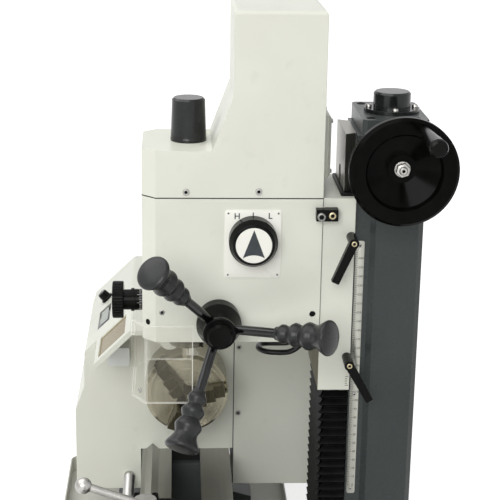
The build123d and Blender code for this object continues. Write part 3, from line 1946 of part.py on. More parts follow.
# Head casting
head_half = head_width / 2
head_plan = [
    (mill_x - head_half, head_rear),
    (mill_x + head_half, head_rear),
    (mill_x + head_half, head_chamfer - head_front),
    (mill_x + head_half - head_chamfer, -head_front),
    (mill_x - head_half + head_chamfer, -head_front),
    (mill_x - head_half, head_chamfer - head_front),
]
shield_axis = (mill_x - shield_side - shield_pin_out, shield_pin_y)
lug_low = head_bottom + shield_lug_rise
with BuildPart() as mill_head:
    extrude(outline(Plane.XY.offset(head_bottom), head_plan), amount=head_height)
    quill_bore_height = quill_length - quill_out + quill_room
    rod(
        (mill_x, 0, head_bottom),
        (0, 0, 1),
        quill_radius + running_gap,
        quill_bore_height,
        mode=Mode.SUBTRACT,
    )
    rod(
        (mill_x, 0, head_bottom),
        (0, 0, 1),
        mill_spindle_radius + spindle_room,
        head_height,
        mode=Mode.SUBTRACT,
    )
    rod(
        (mill_x, head_rear, tilt_z),
        (0, -1, 0),
        tilt_radius + running_gap,
        tilt_depth,
        mode=Mode.SUBTRACT,
    )
    for bore_y, bore_z, shaft in (
        (capstan_y, capstan_z, capstan_shaft),
        (selector_y, selector_z, selector_shaft),
    ):
        rod(
            (head_side, bore_y, bore_z),
            (-1, 0, 0),
            shaft + running_gap,
            shaft_depth,
            mode=Mode.SUBTRACT,
        )
    rod(
        (mill_x, -head_front, fine_z),
        (0, 1, 0),
        fine_shaft + running_gap,
        fine_depth + turn_gap,
        mode=Mode.SUBTRACT,
    )
    rod(
        (head_side, side_hole_y, head_bottom + side_hole_rise),
        (-1, 0, 0),
        side_hole_radius,
        side_hole_depth,
        mode=Mode.SUBTRACT,
    )
    block(
        (shield_axis[0] - shield_tube_radius, mill_x - head_half),
        (shield_pin_y - shield_tube_radius, shield_pin_y + shield_tube_radius),
        (lug_low, lug_low + shield_lug),
    )
    rod(
        (*shield_axis, lug_low),
        (0, 0, -1),
        shield_pin_radius,
        lug_low - head_bottom + shield_tube_low,
    )
save(mill_head, "mill_head")

# Head cover: shell with a low front and a motor tower
cover_top = seam_z + cover_height
cover_section = [
    (-head_front, seam_z),
    (-head_front, seam_z + cover_low),
    (cover_slope_y, seam_z + cover_low),
    (cover_tower_y, seam_z + cover_slope_top),
    (cover_tower_y, cover_top),
    (head_rear, cover_top),
    (head_rear, seam_z),
]
with BuildPart() as head_cover:
    extrude(outline(Plane.YZ.offset(mill_x - head_half), cover_section), amount=head_width)
    upright = head_cover.edges().filter_by(Axis.Z)
    chamfer(upright.group_by(Axis.Y)[0], head_chamfer)
    fillet(head_cover.edges().group_by(Axis.Z)[-1], cover_edge)
    offset(amount=-cover_wall, openings=head_cover.faces().sort_by(Axis.Z)[0])
    wiring_low = seam_z + wiring_rise
    block(
        (mill_x - wiring_left, mill_x + wiring_right),
        (head_rear - cover_wall, head_rear + wiring_depth),
        (wiring_low, wiring_low + wiring_height),
    )
    chamfer(head_cover.faces().sort_by(Axis.Y)[-1].edges(), wiring_edge)
save(head_cover, "head_cover")

# Motor under the cover
with BuildPart() as mill_motor:
    turned(
        along_z(mill_x, motor_back),
        [
            (seam_z, 0),
            (seam_z, motor_radius + motor_flange),
            (seam_z + motor_flange_height, motor_radius + motor_flange),
            (seam_z + motor_flange_height, motor_radius),
            (seam_z + motor_height - motor_round, motor_radius),
            (seam_z + motor_height, motor_radius - motor_round),
            (seam_z + motor_height, 0),
        ],
    )
save(mill_motor, "mill_motor")

# Cap over the drawbar
with BuildPart() as drawbar_cap:
    cap_low = seam_z + cover_low
    turned(
        along_z(mill_x, 0),
        [
            (cap_low, 0),
            (cap_low, drawbar_low + drawbar_lip),
            (cap_low + drawbar_lip_height, drawbar_low + drawbar_lip),
            (cap_low + drawbar_lip_height + small_edge, drawbar_low),
            (cap_low + drawbar_height - cap_round, drawbar_high),
            (cap_low + drawbar_height, drawbar_high - cap_round),
            (cap_low + drawbar_height, 0),
        ],
    )
save(drawbar_cap, "drawbar_cap")

# Quill of the mill
quill_low = head_bottom - quill_out
mill_axis = along_z(mill_x, 0)
with BuildPart() as mill_quill:
    turned(
        mill_axis,
        [
            (quill_low, mill_spindle_radius + running_gap),
            (quill_low, quill_radius - quill_chamfer),
            (quill_low + quill_chamfer, quill_radius),
            (quill_low + quill_length, quill_radius),
            (quill_low + quill_length, mill_spindle_radius + running_gap),
        ],
    )
save(mill_quill, "mill_quill")

# Spindle of the mill, with its taper socket
nose_low = quill_low - mill_nose_height
with BuildPart() as mill_spindle:
    turned(
        mill_axis,
        [
            (nose_low, taper_mouth),
            (nose_low, mill_nose_radius),
            (quill_low - turn_gap, mill_nose_radius),
            (quill_low - turn_gap, mill_spindle_radius),
            (seam_z + mill_spindle_top, mill_spindle_radius),
            (seam_z + mill_spindle_top, 0),
            (nose_low + taper_depth, 0),
            (nose_low + taper_depth, taper_end),
        ],
    )
save(mill_spindle, "mill_spindle")

# Gear selector knob
with BuildPart() as gear_knob:
    knob_back = head_side + plate_room
    turned(
        along_x(selector_y, selector_z),
        [
            (head_side - shaft_depth + turn_gap, 0),
            (head_side - shaft_depth + turn_gap, selector_shaft),
            (knob_back, selector_shaft),
            (knob_back, selector_back),
            (knob_back + selector_skirt, selector_back),
            (knob_back + selector_skirt + selector_step, selector_back - selector_step),
            (knob_back + selector_length - small_edge, selector_front),
            (knob_back + selector_length, selector_front - small_edge),
            (knob_back + selector_length, 0),
        ],
    )
save(gear_knob, "gear_knob")

# Feed flange round the capstan's shaft
capstan_axis = along_x(capstan_y, capstan_z)
flange_end = head_side + feed_flange_length
with BuildPart() as feed_flange:
    turned(
        capstan_axis,
        [
            (head_side, capstan_shaft + running_gap),
            (head_side, feed_flange_radius),
            (flange_end - small_edge, feed_flange_radius),
            (flange_end, feed_flange_radius - small_edge),
            (flange_end, capstan_shaft + running_gap),
        ],
    )
save(feed_flange, "feed_flange")


def rod_direction(i):
    # the rods lean out from the head, a third of a turn apart
    lean = math.radians(rod_tilt)
    turn = math.radians(rod_angle + 360 / rod_count * i)
    out = math.cos(lean)
    return Vector(math.sin(lean), out * math.cos(turn), out * math.sin(turn))


rod_root = Vector(head_side + rod_root_x, capstan_y, capstan_z)
hub_back = flange_end + turn_gap
hub_end = hub_back + hub_length
hub_knob_start = hub_end - hub_knob_length

# Capstan hub with its shaft
with BuildPart() as capstan_hub:
    turned(
        capstan_axis,
        [
            (head_side - shaft_depth + turn_gap, 0),
            (head_side - shaft_depth + turn_gap, capstan_shaft),
            (hub_back, capstan_shaft),
            (hub_back, hub_radius),
            (hub_back + hub_skirt, hub_radius),
            (hub_back + hub_skirt + hub_cone, hub_nose),
            (hub_knob_start - small_edge, hub_nose),
            (hub_knob_start, hub_nose - small_edge),
            (hub_knob_start, hub_knob),
            (hub_end - hub_knob_round, hub_knob),
            (hub_end, hub_knob - hub_knob_round),
            (hub_end, 0),
        ],
    )
    for i in range(rod_count):
        direction = rod_direction(i)
        rod(rod_root + direction * rod_start, direction, rod_radius, rod_end, mode=Mode.SUBTRACT)
save(capstan_hub, "capstan_hub")

# Capstan rods, three alike
with BuildPart() as capstan_rods:
    for i in range(rod_count):
        direction = rod_direction(i)
        rod(rod_root + direction * rod_start, direction, rod_radius, rod_end - rod_start)
save(capstan_rods, "capstan_rods")

# Capstan grips: swelling rings that end in a disc, three alike
ring_edges = [grip_start + ring_pitch * k for k in range(4)]
with BuildPart() as capstan_grips:
    for i in range(rod_count):
        direction = rod_direction(i)
        side = direction.cross(Vector(1, 0, 0)).normalized()
        grip_plane = Plane(origin=rod_root, x_dir=direction, z_dir=side)
        with BuildSketch(grip_plane) as grip:
            with BuildLine():
                Polyline((grip_start, rod_radius), (grip_start, ring_waist[0]))
                for k in range(3):
                    middle = (ring_edges[k] + ring_edges[k + 1]) / 2
                    ThreePointArc(
                        (ring_edges[k], ring_waist[k]),
                        (middle, ring_swell[k]),
                        (ring_edges[k + 1], ring_waist[k + 1]),
                    )
                Polyline(
                    (ring_edges[3], ring_waist[3]),
                    (grip_end - grip_disc_width, grip_disc - grip_edge),
                    (grip_end - grip_disc_width + grip_edge, grip_disc),
                    (grip_end - grip_edge - small_edge, grip_disc),
                    (grip_end - small_edge, grip_disc - grip_edge - small_edge),
                    (grip_end, grip_disc / 2),
                    (grip_end, 0),
                )
                Polyline(
                    (grip_end, 0),
                    (rod_end, 0),
                    (rod_end, rod_radius),
                    (grip_start, rod_radius),
                )
            make_face()
        revolve(grip.sketch, axis=Axis(grip_plane.origin, grip_plane.x_dir))
save(capstan_grips, "capstan_grips")

# Fine feed knob with its neck, ring and dial
fine_axis = along_y(mill_x, fine_z)
dial_start = -head_front - turn_gap
ring_start = dial_start - fine_dial
neck_start = ring_start - fine_ring
knob_start = neck_start - fine_neck
knob_end = knob_start - fine_knob_width
with BuildPart() as fine_feed_knob:
    turned(
        fine_axis,
        [
            (-head_front + fine_depth, 0),
            (-head_front + fine_depth, fine_shaft),
            (dial_start, fine_shaft),
            (dial_start, fine_dial_radius),
            (ring_start, fine_dial_radius),
            (ring_start, fine_ring_radius),
            (neck_start, fine_ring_radius),
            (neck_start, fine_neck_radius),
            (knob_start, fine_neck_radius),
            (knob_start, fine_knob_radius - small_edge),
            (knob_start - small_edge, fine_knob_radius),
            (knob_end + small_edge, fine_knob_radius),
            (knob_end, fine_knob_radius - small_edge),
            (knob_end, 0),
        ],
    )
    with BuildSketch(Plane(origin=(mill_x, knob_start, fine_z), z_dir=(0, -1, 0))):
        with PolarLocations(fine_knob_radius, fine_flutes):
            Circle(fine_flute_radius)
    extrude(amount=fine_knob_width, mode=Mode.SUBTRACT)
save(fine_feed_knob, "fine_feed_knob")


def shield_path(inset):
    # half plan of the guard's sheet, from its rear edge round to the front
    lean = math.hypot(shield_corner_run, shield_corner)
    back = inset * (lean - shield_corner) / shield_corner_run
    across = inset * (lean - shield_corner_run) / shield_corner
    return [
        (shield_side - inset, shield_rear),
        (shield_side - inset, shield_corner - shield_front + back),
        (shield_side - shield_corner_run - across, inset - shield_front),
    ]


# Clear guard that swings away on the head's pin
shield_bottom = head_bottom - shield_low
shield_top = head_bottom + shield_high
with BuildPart() as mill_guard:
    outer_path = shield_path(0)
    inner_path = shield_path(shield_sheet)
    right_side = [(mill_x + x, y) for x, y in outer_path]
    left_side = [(mill_x - x, y) for x, y in reversed(outer_path)]
    inner_left = [(mill_x - x, y) for x, y in inner_path]
    inner_right = [(mill_x + x, y) for x, y in reversed(inner_path)]
    sheet_plan = right_side + left_side + inner_left + inner_right
    extrude(
        outline(Plane.XY.offset(shield_bottom), sheet_plan), amount=shield_top - shield_bottom
    )
    block(
        (mill_x - shield_side - small_edge, mill_x + shield_side - shield_corner_run),
        (-shield_front - small_edge, shield_rear + small_edge),
        (shield_top - shield_notch, shield_top),
        mode=Mode.SUBTRACT,
    )
    tube_low = head_bottom - shield_tube_low
    tube_height = lug_low - turn_gap - tube_low
    rod((*shield_axis, tube_low), (0, 0, 1), shield_tube_radius, tube_height)
    rod(
        (*shield_axis, tube_low),
        (0, 0, 1),
        shield_pin_radius + running_gap,
        tube_height,
        mode=Mode.SUBTRACT,
    )
save(mill_guard, "mill_guard")

# Cable loop that hangs under the head between two glands
gland_face = head_bottom - gland_length
near_x = mill_x + cable_near
far_x = mill_x + cable_far
loop_radius = (near_x - far_x) / 2
loop_cut = loop_radius * (1 - math.tan(math.radians(22.5)))
drop_z = gland_face - cable_drop
loop_z = drop_z - cable_bend
bend_y = cable_y - cable_bend
turn_y = bend_y - 2 * cable_run
cable_route = [
    (near_x, cable_y, head_bottom - gland_wall),
    (near_x, cable_y, drop_z),
    (near_x, bend_y, loop_z),
    (near_x + cable_sway, bend_y - cable_run, loop_z - cable_sag),
    (near_x, turn_y, loop_z),
    (near_x - loop_cut, turn_y - loop_cut, loop_z + cable_sag),
    (far_x + loop_cut, turn_y - loop_cut, loop_z + cable_sag),
    (far_x, turn_y, loop_z),
    (far_x - cable_sway, bend_y - cable_run, loop_z - cable_sag),
    (far_x, bend_y, loop_z),
    (far_x, cable_y, drop_z),
    (far_x, cable_y, head_bottom - gland_wall),
]


def bend_radii(route):
    # radius of each bend from the shorter of the two runs beside it
    radii = []
    for a, b, c in zip(route, route[1:], route[2:]):
        before = Vector(b) - Vector(a)
        after = Vector(c) - Vector(b)
        half_turn = math.radians(before.get_angle(after)) / 2
        radii.append(0.45 * min(before.length, after.length) / math.tan(half_turn))
    return radii


cable_radii = bend_radii(cable_route)
print("cable bend radii", [round(r, 1) for r in cable_radii])
with BuildPart() as head_cable:
    with BuildLine() as cable_path:
        FilletPolyline(cable_route, radius=cable_radii)
    with BuildSketch(Plane(origin=cable_route[0], z_dir=(0, 0, -1))):
        Circle(cable_radius)
    sweep(path=cable_path.line)
print("cable length", round(sum(edge.length for edge in cable_path.edges()), 1))
save(head_cable, "head_cable")

with BuildPart() as cable_glands:
    for gland_x in (near_x, far_x):
        turned(
            along_z(gland_x, cable_y),
            [
                (gland_face, cable_radius + running_gap),
                (gland_face, gland_radius - 2 * small_edge),
                (gland_face + gland_taper, gland_radius - small_edge),
                (gland_face + gland_taper + small_edge, gland_radius),
                (head_bottom, gland_radius),
                (head_bottom, 0),
                (head_bottom - gland_wall + turn_gap, 0),
                (head_bottom - gland_wall + turn_gap, cable_radius + running_gap),
            ],
        )
save(cable_glands, "cable_glands")
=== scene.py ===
import math

import bmesh
import bpy
from mathutils import Matrix, Vector, geometry


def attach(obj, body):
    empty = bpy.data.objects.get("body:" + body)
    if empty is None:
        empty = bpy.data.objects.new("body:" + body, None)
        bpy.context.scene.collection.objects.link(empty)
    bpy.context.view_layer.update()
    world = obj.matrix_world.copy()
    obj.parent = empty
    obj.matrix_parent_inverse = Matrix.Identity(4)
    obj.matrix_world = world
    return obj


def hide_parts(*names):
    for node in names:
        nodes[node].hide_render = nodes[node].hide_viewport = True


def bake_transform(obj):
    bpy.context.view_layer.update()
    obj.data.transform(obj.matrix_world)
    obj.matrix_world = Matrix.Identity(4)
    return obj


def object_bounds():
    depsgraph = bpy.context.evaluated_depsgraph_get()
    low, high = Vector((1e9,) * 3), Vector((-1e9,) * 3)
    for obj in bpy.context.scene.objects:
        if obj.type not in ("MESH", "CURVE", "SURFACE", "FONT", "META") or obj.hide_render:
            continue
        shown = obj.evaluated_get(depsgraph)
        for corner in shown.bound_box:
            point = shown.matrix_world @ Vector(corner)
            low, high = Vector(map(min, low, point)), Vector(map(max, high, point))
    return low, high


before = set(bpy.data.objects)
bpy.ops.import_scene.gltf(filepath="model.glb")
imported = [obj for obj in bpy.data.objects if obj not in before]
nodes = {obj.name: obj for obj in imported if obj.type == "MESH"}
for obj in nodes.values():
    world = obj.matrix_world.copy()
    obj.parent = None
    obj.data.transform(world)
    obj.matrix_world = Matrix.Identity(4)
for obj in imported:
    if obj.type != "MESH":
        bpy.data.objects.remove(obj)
cadLow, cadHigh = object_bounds()
scene = bpy.context.scene
scene.view_settings.view_transform = "Standard"
mm = 0.001
right, left, rear, front = (1, 0, 0), (-1, 0, 0), (0, 1, 0), (0, -1, 0)
up, down = (0, 0, 1), (0, 0, -1)

# camera: where the photo was taken from, place in mm and angles in degrees
view = {
    "place": (1382.94, -13.52, 911.4), "dip": 16.85, "aside": 3.19, "roll": -0.97,
    "lens": 100.8, "sensor": 36.0, "farthest": 50.0,
}


def makeCamera():
    dip, aside, roll = (math.radians(view[k]) for k in ("dip", "aside", "roll"))
    look = Vector((-math.cos(aside) * math.cos(dip), math.sin(aside) * math.cos(dip), -math.sin(dip)))
    level = look.cross(Vector(up)).normalized()
    rise = level.cross(look)
    across = level * math.cos(roll) - rise * math.sin(roll)
    upright = level * math.sin(roll) + rise * math.cos(roll)
    data = bpy.data.cameras.new("photoCamera")
    data.lens, data.sensor_width, data.clip_end = view["lens"], view["sensor"], view["farthest"]
    camera = bpy.data.objects.new("photoCamera", data)
    scene.collection.objects.link(camera)
    turn = Matrix((across, upright, -look)).transposed().to_4x4()
    camera.matrix_world = Matrix.Translation(Vector(view["place"]) * mm) @ turn
    scene.camera = camera


makeCamera()
print("camera set")


# a socket that can be used in sums
class Wire:
    def __init__(self, graph, socket):
        self.graph, self.socket = graph, socket

    def calc(self, kind, first, second=None):
        return self.graph.node("ShaderNodeMath", {"operation": kind}, {0: first, 1: second})

    def cosine(self):
        return self.calc("COSINE", self)

    def sine(self):
        return self.calc("SINE", self)

    def clamped(self):
        return self.graph.node("ShaderNodeClamp", {}, {0: self})

    # another output of the same node
    def also(self, name):
        return Wire(self.graph, self.graph.pick(self.socket.node.outputs, name))


# the signs that a wire takes, with their reflected forms
for sign, reflected, kind in (
    ("add", "radd", "ADD"), ("sub", "rsub", "SUBTRACT"), ("mul", "rmul", "MULTIPLY"),
    ("truediv", "rtruediv", "DIVIDE"), ("mod", "rmod", "FLOORED_MODULO"), ("pow", "rpow", "POWER"),
    ("lt", "gt", "LESS_THAN"),
):
    setattr(Wire, f"__{sign}__", lambda wire, other, kind=kind: wire.calc(kind, wire, other))
    setattr(Wire, f"__{reflected}__", lambda wire, other, kind=kind: wire.calc(kind, other, wire))


class Graph:
    family = "ShaderNode"

    def __init__(self, tree):
        self.tree = tree

    def pick(self, sockets, key):
        ready = [s for s in sockets if s.enabled]
        return ready[key] if isinstance(key, int) else next(s for s in ready if s.name == key)

    def feed(self, made, sockets):
        for key, value in sockets.items():
            if isinstance(value, Wire):
                self.tree.links.new(value.socket, self.pick(made.inputs, key))
            elif value is not None:
                self.pick(made.inputs, key).default_value = value

    def node(self, kind, settings=None, sockets=None, result=0):
        made = self.tree.nodes.new(kind if "Node" in kind else self.family + kind)
        for name, value in (settings or {}).items():
            setattr(made, name, value)
        self.feed(made, sockets or {})
        return Wire(self, self.pick(made.outputs, result))

    def join(self, x=0.0, y=0.0, z=0.0):
        return self.node("ShaderNodeCombineXYZ", {}, {0: x, 1: y, 2: z})


# colours are linear red, green and blue
def solid(colour):
    return (*colour, 1.0)


def toned(colour, tone, lift=0.0):
    return tuple(c * tone + lift for c in colour)


class Finish(Graph):
    def __init__(self, name):
        self.material = bpy.data.materials.new(name)
        self.material.use_nodes = True
        super().__init__(self.material.node_tree)
        self.tree.nodes.clear()
        self.shader = self.tree.nodes.new("ShaderNodeBsdfPrincipled")
        end = self.tree.nodes.new("ShaderNodeOutputMaterial")
        self.tree.links.new(self.shader.outputs[0], end.inputs[0])
        self.spot = self.node("TexCoord", result="Object")

    def put(self, sockets):
        self.feed(self.shader, sockets)
        return self.material

    def noise(self, scale, detail, stretch=None):
        spot = self.spot
        if stretch:
            spot = self.node("Mapping", {}, {"Vector": spot, "Scale": stretch})
        return self.node("TexNoise", {}, {"Vector": spot, "Scale": scale, "Detail": detail})

    def blend(self, mask, first, second):
        first, second = (c if isinstance(c, Wire) else solid(c) for c in (first, second))
        return self.node("Mix", {"data_type": "RGBA"}, {0: mask, 1: first, 2: second})

    # 0 at low, 1 at high
    def fade(self, value, low, high):
        return self.node("MapRange", {}, {0: value, 1: low, 2: high})

    def axes(self):
        x = self.node("SeparateXYZ", {}, {0: self.spot})
        return x, x.also("Y"), x.also("Z")

    def softEdge(self, radius, samples=4):
        return self.node("Bevel", {"samples": samples}, {"Radius": radius})

    def edgeMask(self, soft, reach):
        flat = self.node("NewGeometry", {}, {}, "Normal")
        same = self.node("VectorMath", {"operation": "DOT_PRODUCT"}, {0: soft, 1: flat}, "Value")
        return self.fade(same, 1.0, 1.0 - reach)

    def bump(self, height, strength, depth, soft):
        return self.node("Bump", {}, {
            "Strength": strength, "Distance": depth, "Height": height, "Normal": soft})


# paint: noises as scale and detail, edge and relief in metres
paintLook = {
    "edge": 0.0011, "edgeReach": 0.35, "edgeShare": 0.6, "drift": (7.0, 4.0), "driftRange": (0.3, 0.7),
    "film": (55.0, 5.0), "filmRange": (0.62, 0.8), "filmShare": 0.25, "filmTone": 0.8, "filmGloss": 0.16,
    "peel": (1100.0, 2.0), "relief": 0.0004,
    "lines": (1.0, 2.0), "bareGloss": 0.24, "linesGloss": 0.18, "linesRelief": 0.4,
}


def paint(name, pale, deep, rubbed, gloss, peel, mirror=0.5, bareMetal=None):
    p, f = paintLook, Finish(name)
    soft = f.softEdge(p["edge"])
    film, height = f.noise(*p["film"]), f.noise(*p["peel"])
    colour = f.blend(f.fade(f.noise(*p["drift"]), *p["driftRange"]), deep, pale)
    colour = f.blend(f.fade(film, *p["filmRange"]) * p["filmShare"], colour, toned(deep, p["filmTone"]))
    colour = f.blend(f.edgeMask(soft, p["edgeReach"]) * p["edgeShare"], colour, rubbed)
    rough = gloss + film * p["filmGloss"]
    if bareMetal:
        where, grain, dull, bright = bareMetal
        bare = where(*f.axes())
        lines = f.noise(*p["lines"], grain)
        colour = f.blend(bare, colour, f.blend(lines, dull, bright))
        rough = rough * (1 - bare) + bare * (p["bareGloss"] + lines * p["linesGloss"])
        height = height * (1 - bare) + lines * bare * p["linesRelief"]
        f.put({"Metallic": bare})
    bump = f.bump(height, peel, p["relief"], soft)
    return f.put({"Base Color": colour, "Roughness": rough, "Specular IOR Level": mirror, "Normal": bump})


# ground and filed metal: grain as the noise's stretch
groundLook = {
    "edge": 0.0007, "lines": (1.0, 3.0), "gloss": 0.22, "linesGloss": 0.16, "strength": 0.1, "relief": 0.0002,
    "stain": (38.0, 5.0), "stainRange": (0.55, 0.75), "stainShare": 0.35, "stainTone": 0.7, "stainGloss": 0.1,
}


def ground(name, grain, bright, dull):
    g, f = groundLook, Finish(name)
    lines, stain = f.noise(*g["lines"], grain), f.noise(*g["stain"])
    colour = f.blend(lines, dull, bright)
    colour = f.blend(f.fade(stain, *g["stainRange"]) * g["stainShare"], colour, toned(dull, g["stainTone"]))
    rough = g["gloss"] + lines * g["linesGloss"] + stain * g["stainGloss"]
    bump = f.bump(lines, g["strength"], g["relief"], f.softEdge(g["edge"]))
    return f.put({"Base Color": colour, "Metallic": 1.0, "Roughness": rough, "Normal": bump})


# turned parts: fine rings about their own axis, and along it
turnedLook = {
    "edge": 0.0006, "pitch": 2600.0, "detail": 2.0, "ringGloss": 0.12, "strength": 1.0,
    "smear": (45.0, 4.0), "smearGloss": 0.1, "shadeGrooveFill": 0.8,
}


def turned(name, axis, centre, bright, dull, gloss, groove=0.05, paintedShadeRadii=None):
    t, f = turnedLook, Finish(name)
    spots, along = f.axes(), "XYZ".index(axis)
    first, second = (spots[i] - centre[i] * mm for i in range(3) if i != along)
    reach = (first * first + second * second) ** 0.5
    rings = f.node("TexNoise", {"noise_dimensions": "2D"}, {
        "Vector": f.join(spots[along], reach), "Scale": t["pitch"], "Detail": t["detail"]})
    smear = f.noise(*t["smear"])
    colour = f.blend(rings, dull, bright)
    # a ring between two radii takes the dull colour and shallower grooves: painted shade on the chuck's
    # chamfer, in place of a darker reflection
    if paintedShadeRadii:
        low, high = paintedShadeRadii
        band = (reach > low * mm) * (reach < high * mm)
        colour = f.blend(band, colour, dull)
        rings = rings * (1 - band * t["shadeGrooveFill"])
    rough = gloss + rings * t["ringGloss"] + smear * t["smearGloss"]
    bump = f.bump(rings, t["strength"], groove * mm, f.softEdge(t["edge"]))
    return f.put({"Base Color": colour, "Metallic": 1.0, "Roughness": rough, "Normal": bump})


# black steel, plastic, rubber and ink
darkLook = {
    "edge": 0.0008, "edgeReach": 0.3, "wornRange": (0.4, 0.7), "wornShare": 0.5,
    "detail": 2.0, "relief": 0.0003, "film": (70.0, 5.0), "filmRange": (0.35, 0.75),
    "filmTone": 1.5, "filmLift": 0.001, "filmGloss": 0.14,
}


def dark(name, colour, worn, gloss, grain, grainStrength, mirror=0.3):
    d, f = darkLook, Finish(name)
    soft, film = f.softEdge(d["edge"]), f.noise(*d["film"])
    wear = f.edgeMask(soft, d["edgeReach"]) * f.fade(film, *d["wornRange"]) * d["wornShare"]
    shade = f.blend(f.fade(film, *d["filmRange"]), colour, toned(colour, d["filmTone"], d["filmLift"]))
    bump = f.bump(f.noise(grain, d["detail"]), grainStrength, d["relief"], soft)
    return f.put({
        "Base Color": f.blend(wear, shade, worn), "Roughness": gloss + film * d["filmGloss"],
        "Specular IOR Level": mirror, "Normal": bump})


# see-through sheet: a thin veil, lighter and more opaque along its folds and cut edges, where the rim colour
# is a painted highlight standing in for the glow of the edges
sheetLook = {"edgeReach": 0.07, "film": (22.0, 5.0), "filmGloss": 0.06, "filmVeil": 0.04, "ior": 1.49}


def sheet(name, colour, rim, veil, rimVeil, edgeWidth, gloss):
    s, f = sheetLook, Finish(name)
    edge, film = f.edgeMask(f.softEdge(edgeWidth), s["edgeReach"]), f.noise(*s["film"])
    return f.put({
        "Base Color": f.blend(edge, colour, rim), "Roughness": gloss + film * s["filmGloss"], "IOR": s["ior"],
        "Alpha": edge * (rimVeil - veil) + film * s["filmVeil"] + veil})


# bare metal on paint: where it is in metres, grain, dull and bright colour
bedWays = (lambda x, y, z: z > 0.1305, (5, 1700, 1700), (0.27, 0.265, 0.25), (0.42, 0.415, 0.4))
dovetail = (
    lambda x, y, z: (y < 0.1716) * (z > 0.137), (1700, 1700, 5), (0.2, 0.19, 0.165), (0.42, 0.4, 0.36))

# paints: colour, deeper patches, rubbed edges, roughness, orange peel, mirror, bare metal
paints = {
    "ivoryPaint": ((0.74, 0.75, 0.665), (0.68, 0.685, 0.6), (0.81, 0.82, 0.745), 0.24, 0.1, 0.22),
    "greyPaint": ((0.062, 0.071, 0.069), (0.046, 0.053, 0.052), (0.12, 0.13, 0.127), 0.24, 0.16, 0.22),
    "bedPaintAndWays": (
        (0.08, 0.09, 0.088), (0.06, 0.068, 0.067), (0.13, 0.14, 0.138), 0.3, 0.22, 0.25, bedWays),
    "columnPaintAndDovetail": (
        (0.047, 0.056, 0.055), (0.035, 0.042, 0.041), (0.1, 0.11, 0.105), 0.2, 0.12, 0.2, dovetail),
    "trayPaint": ((0.62, 0.615, 0.55), (0.55, 0.545, 0.485), (0.72, 0.72, 0.66), 0.28, 0.12),
    "motorPaint": ((0.1, 0.1, 0.11), (0.07, 0.07, 0.08), (0.16, 0.16, 0.17), 0.35, 0.2),
    "plateWhite": ((0.86, 0.85, 0.78), (0.83, 0.82, 0.75), (0.88, 0.88, 0.82), 0.22, 0.03),
    "switchGrey": ((0.78, 0.8, 0.77), (0.72, 0.74, 0.71), (0.84, 0.85, 0.83), 0.3, 0.05),
    "markWhite": ((0.78, 0.78, 0.76), (0.66, 0.66, 0.64), (0.8, 0.8, 0.8), 0.4, 0.03),
    "displayPale": ((0.3, 0.33, 0.29), (0.27, 0.3, 0.26), (0.34, 0.36, 0.32), 0.2, 0.0),
}
# ground metals: grain, bright and dull colour
evenGrain = (700, 700, 700)
groundMetals = {
    "groundIron": ((1500, 6, 1500), (0.42, 0.415, 0.4), (0.29, 0.285, 0.27)),
    "slideIron": ((6, 1500, 1500), (0.42, 0.415, 0.4), (0.29, 0.285, 0.27)),
    "jawSteel": ((900, 900, 6), (0.125, 0.112, 0.076), (0.038, 0.035, 0.022)),
    "scaleMetal": ((900, 900, 8), (0.41, 0.41, 0.37), (0.32, 0.32, 0.285)),
    "screwSteel": (evenGrain, (0.5, 0.49, 0.465), (0.31, 0.3, 0.285)),
    "dullSteel": (evenGrain, (0.34, 0.335, 0.32), (0.22, 0.215, 0.2)),
    # brown iron of the pad before the saddle: painted shade and reflection
    "swivelIron": (evenGrain, (0.26, 0.22, 0.155), (0.14, 0.115, 0.08)),
    "brass": (evenGrain, (0.56, 0.49, 0.32), (0.38, 0.32, 0.19)),
}
# turned metals: axis, a point on it, bright and dull colour, roughness, groove, ring of painted shade; in mm
turnedMetals = {
    "chuckSteel": ("X", (0, 0, 255), (0.47, 0.44, 0.335), (0.21, 0.195, 0.14), 0.06, 0.3, (46.2, 49.7)),
    "tailSteel": ("X", (0, 0, 255), (0.54, 0.535, 0.52), (0.41, 0.405, 0.39), 0.16),
    # the quill and spindle are far darker than bright steel: painted shade, as they sit in the shade under
    # the head
    "quillSteel": ("Z", (-50, 0, 0), (0.12, 0.115, 0.09), (0.06, 0.057, 0.043), 0.14),
    "liftSteel": ("Z", (-50, 212, 0), (0.55, 0.545, 0.53), (0.42, 0.415, 0.4), 0.22),
    "pulleySteel": ("X", (0, 105, 205), (0.6, 0.6, 0.6), (0.46, 0.46, 0.46), 0.24),
    "leadSteel": ("X", (0, -72, 112), (0.52, 0.515, 0.5), (0.38, 0.375, 0.36), 0.2),
}
